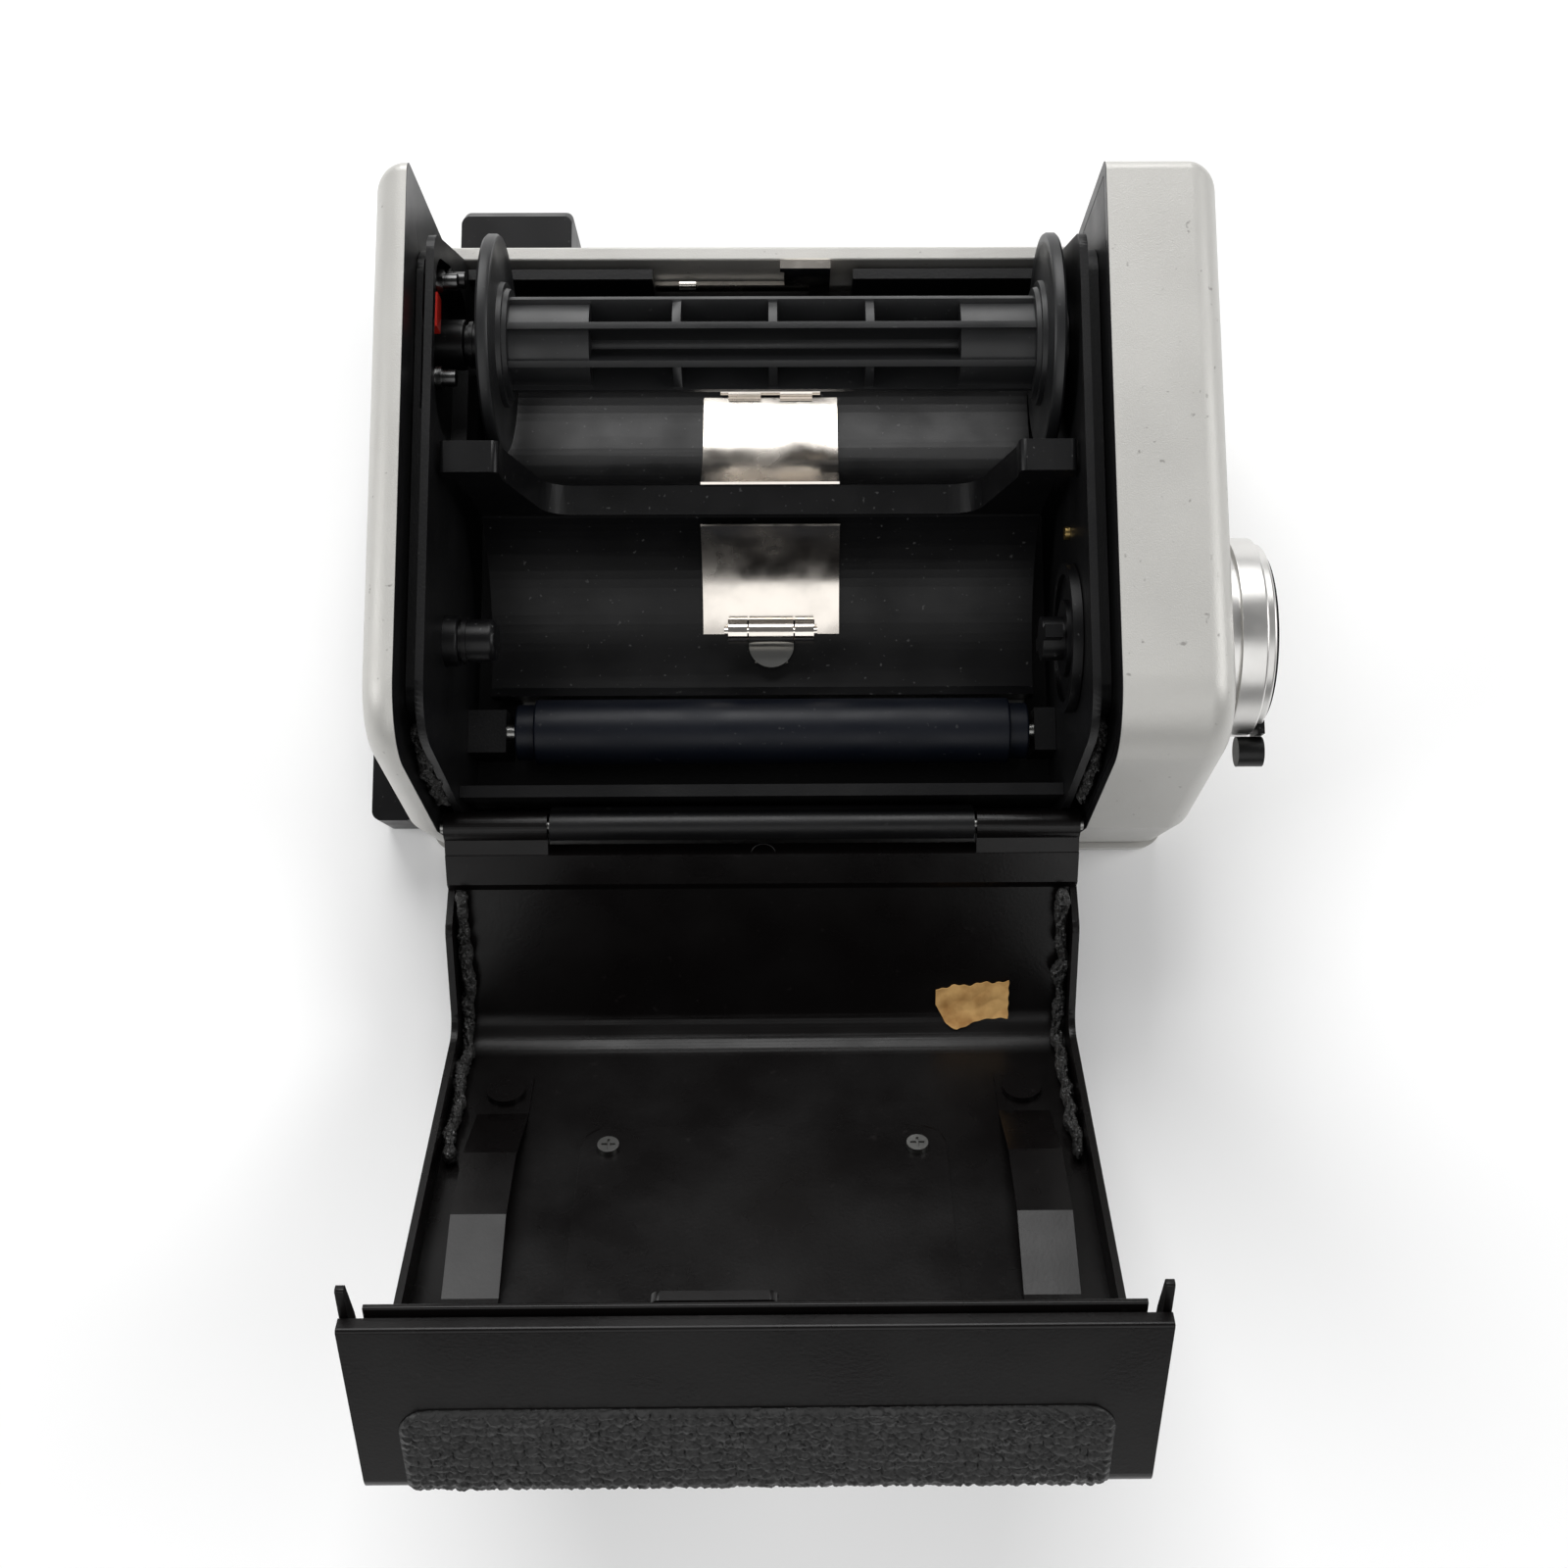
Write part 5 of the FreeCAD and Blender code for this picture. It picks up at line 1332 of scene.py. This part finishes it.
@dataclass
class MouldMarks:
    """Flush round marks that the mould's ejector pins left inside the door's foot, in mm."""

    door: DoorFrame
    centres: tuple[float, ...] = (-29.6, -1.2, 27.4)
    height: float = -33.3
    depth: float = 20.7
    radius: float = 1.5
    bead: float = 0.07
    bead_high: float = 0.05
    sunk: float = 0.01
    ring_corners: int = 48
    bead_corners: int = 8

    def build(self, finishes: Finishes) -> None:
        """Each mark is a shallow turned rim: radius plus a small raised bead on the sloped wall.

        Args:
            finishes: The finishes.
        """
        tilt = math.atan2(FOOT_RISE, FOOT_RUN)
        along = np.array([0.0, math.sin(tilt), math.cos(tilt)])
        up = np.array([0.0, math.cos(tilt), -math.sin(tilt)])
        round_bead = np.linspace(0, 2 * np.pi, self.bead_corners + 1)[:-1]
        round_ring = np.linspace(0, 2 * np.pi, self.ring_corners + 1)[:-1]
        a, b = np.meshgrid(round_ring, round_bead, indexing="ij")
        ring = self.radius + self.bead * np.cos(b)
        across = (ring * np.cos(a))[..., None] * np.array([1.0, 0, 0])
        uphill = (ring * np.sin(a))[..., None] * along
        raised = (self.bead_high * np.sin(b) - self.sunk)[..., None] * up
        first = np.arange(self.bead_corners)
        after = (first + 1) % self.bead_corners
        end = (self.ring_corners - 1) * self.bead_corners
        closing = np.stack([end + first, end + after, after, first], -1)
        open_faces = grid_faces(self.ring_corners, self.bead_corners, wrap=True)
        faces = np.concatenate([open_faces, closing])
        for index, x in enumerate(self.centres):
            grid = np.array([x, self.height, self.depth]) + across + uphill + raised
            points = self.door.opened(grid[..., 0], grid[..., 1], grid[..., 2]).reshape(-1, 3)
            piece = mesh_piece(f"mould_mark_{index + 1}", points, faces, 60.0)
            finishes.put(piece, "enamel")
            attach(piece, "door")
            LOG.info("made %s", piece.name)


# ------------------------------------------------------------------ camera, light and floor


@dataclass(frozen=True)
class Viewpoint:
    """Where the camera stands, in mm and radians; the picture is square."""

    place: tuple[float, float, float] = (1.908, -61.589, 245.104)
    tilt: tuple[float, float, float] = (0.1611, 0.00637, -0.00867)
    focal: float = 1.22914
    centre: tuple[float, float] = (0.51494, 0.47112)
    sensor: float = 36.0

    def build(self) -> None:
        """Aim the camera.

        The tilt is a turn of a camera that looks along -Z of the magazine with +Y up, given about
        its right, forward and up axes. The focal length and the optical centre are shares of the
        picture's width.
        """
        turn = Euler(self.tilt, "XYZ").to_matrix()
        to_row = Matrix(((1, 0, 0), (0, 0, 1), (0, -1, 0)))
        right, ahead, up = (to_row @ turn.col[k] for k in range(3))
        data = bpy.data.cameras.new("camera")
        data.sensor_width = self.sensor
        data.lens = self.focal * self.sensor
        data.shift_x = 0.5 - self.centre[0]
        data.shift_y = self.centre[1] - 0.5
        data.clip_start = 0.005
        data.clip_end = 20.0
        camera = bpy.data.objects.new("camera", data)
        bpy.context.scene.collection.objects.link(camera)
        frame = Matrix((right, up, -ahead)).transposed().to_4x4()
        frame.translation = Vector(self.place) * MM
        camera.matrix_world = frame
        bpy.context.scene.camera = camera


@dataclass(frozen=True)
class SoftLight:
    """One soft panel: name, place, target, size (m), power (W)."""

    name: str
    place: tuple[float, float, float]
    target: tuple[float, float, float]
    size: float
    power: float

    def build(self) -> None:
        """Hang the panel and aim it."""
        data = bpy.data.lights.new(self.name, "AREA")
        data.shape = "SQUARE"
        data.size = self.size
        data.energy = self.power
        lamp = bpy.data.objects.new(self.name, data)
        bpy.context.scene.collection.objects.link(lamp)
        lamp.location = self.place
        aim = Vector(self.target) - Vector(self.place)
        lamp.rotation_euler = aim.to_track_quat("-Z", "Y").to_euler()


@dataclass
class Studio:
    """Pale floor, pale surroundings and soft panels."""

    lights: tuple[SoftLight, ...] = (
        SoftLight("top_panel", (-0.08, 0.66, 0.50), (0.0, -0.02, 0.03), 0.60, 6.5),
        SoftLight("front_panel", (0.0, -0.62, 0.70), (0.0, -0.02, 0.03), 0.80, 2.6),
        SoftLight("left_panel", (-0.72, -0.05, 0.46), (0.0, -0.03, 0.03), 0.50, 2.9),
        SoftLight("right_panel", (0.72, 0.05, 0.50), (0.0, -0.03, 0.03), 0.50, 2.9),
    )
    floor_size: float = 2.4
    floor_drop: float = 0.0003
    surroundings: float = 0.16

    def build(self) -> None:
        """Lay the floor, light the scene and colour the surroundings."""
        self.lay_floor()
        for light in self.lights:
            light.build()
        world = bpy.data.worlds.new("surroundings")
        bpy.context.scene.world = world
        world.use_nodes = True
        back = world.node_tree.nodes["Background"]
        back.inputs["Color"].default_value = (1.0, 1.0, 1.0, 1)
        back.inputs["Strength"].default_value = self.surroundings
        bpy.context.scene.view_settings.view_transform = "Standard"

    def lay_floor(self) -> None:
        """A flat sheet just under the magazine: its height is the same over the whole grid."""
        u, v = np.meshgrid(np.linspace(-1, 1, 5), np.linspace(-1, 1, 5), indexing="xy")
        low = np.full_like(u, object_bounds()[0].z - self.floor_drop)
        points = np.stack([u * self.floor_size, v * self.floor_size, low], -1)
        floor = mesh_piece("floor", points.reshape(-1, 3), grid_faces(*u.shape))
        material = bpy.data.materials.new("pale_floor")
        material.use_nodes = True
        tree = material.node_tree
        shader = tree.nodes["Principled BSDF"]
        shader.label = "matt card"
        shader.inputs["Base Color"].default_value = (0.95, 0.95, 0.95, 1)
        shader.inputs["Roughness"].default_value = 0.9
        floor.data.materials.append(material)
        floor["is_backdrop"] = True


# ------------------------------------------------------------------ the magazine


def corners(box: tuple[Vector, Vector]) -> list[list[float]]:
    """A box's two corners as plain lists."""
    return [list(map(float, corner)) for corner in box]


def main() -> None:
    """Build the magazine's looks in order."""
    logging.basicConfig(level=logging.INFO, format="%(name)s: %(message)s")
    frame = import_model()
    hinge = next(joint for joint in frame["joints"] if joint["name"] == "door_hinge")
    door = DoorFrame.from_joint(hinge)
    finishes = Finishes()
    finishes.make()
    finishes.dress(frame["nodes"])
    EasedNodes(finishes, {
        "left_side_cover": ("magazine", 0.35, "silver", "silver_paint"),
        "right_gear_housing": ("magazine", 0.35, "silver", "silver_paint"),
        "top_cover": ("magazine", 0.2, "strip", "silver_paint"),
        "film_insert": ("magazine", 0.3, "plastic", "black_plastic"),
        "front_frame": ("magazine", 0.2, "black", "black_paint"),
        "left_liner": ("magazine", 0.15, "black", "black_paint"),
        "right_liner": ("magazine", 0.15, "black", "black_paint"),
        "door_shell": ("door", 0.2, "enamel", "door_paint"),
        "memo_backing": ("door", 0.25, "enamel", "door_paint"),
        "catch_tab": ("door", 0.15, "enamel", "door_paint"),
        "latch_button": ("latch", 0.2, "plastic", "black_plastic"),
        "dark_slide_handle": ("dark_slide", 0.4, "plastic", "black_plastic"),
    }).build(frame["nodes"])
    TakeUpSpool().build(finishes)
    DoorCovering(door).build(finishes)
    FoamSeals(door).build(finishes)
    TapeScrap(door).build(finishes)
    MouldMarks(door).build(finishes)
    Viewpoint().build()
    Studio().build()


if __name__ == "__main__":
    main()
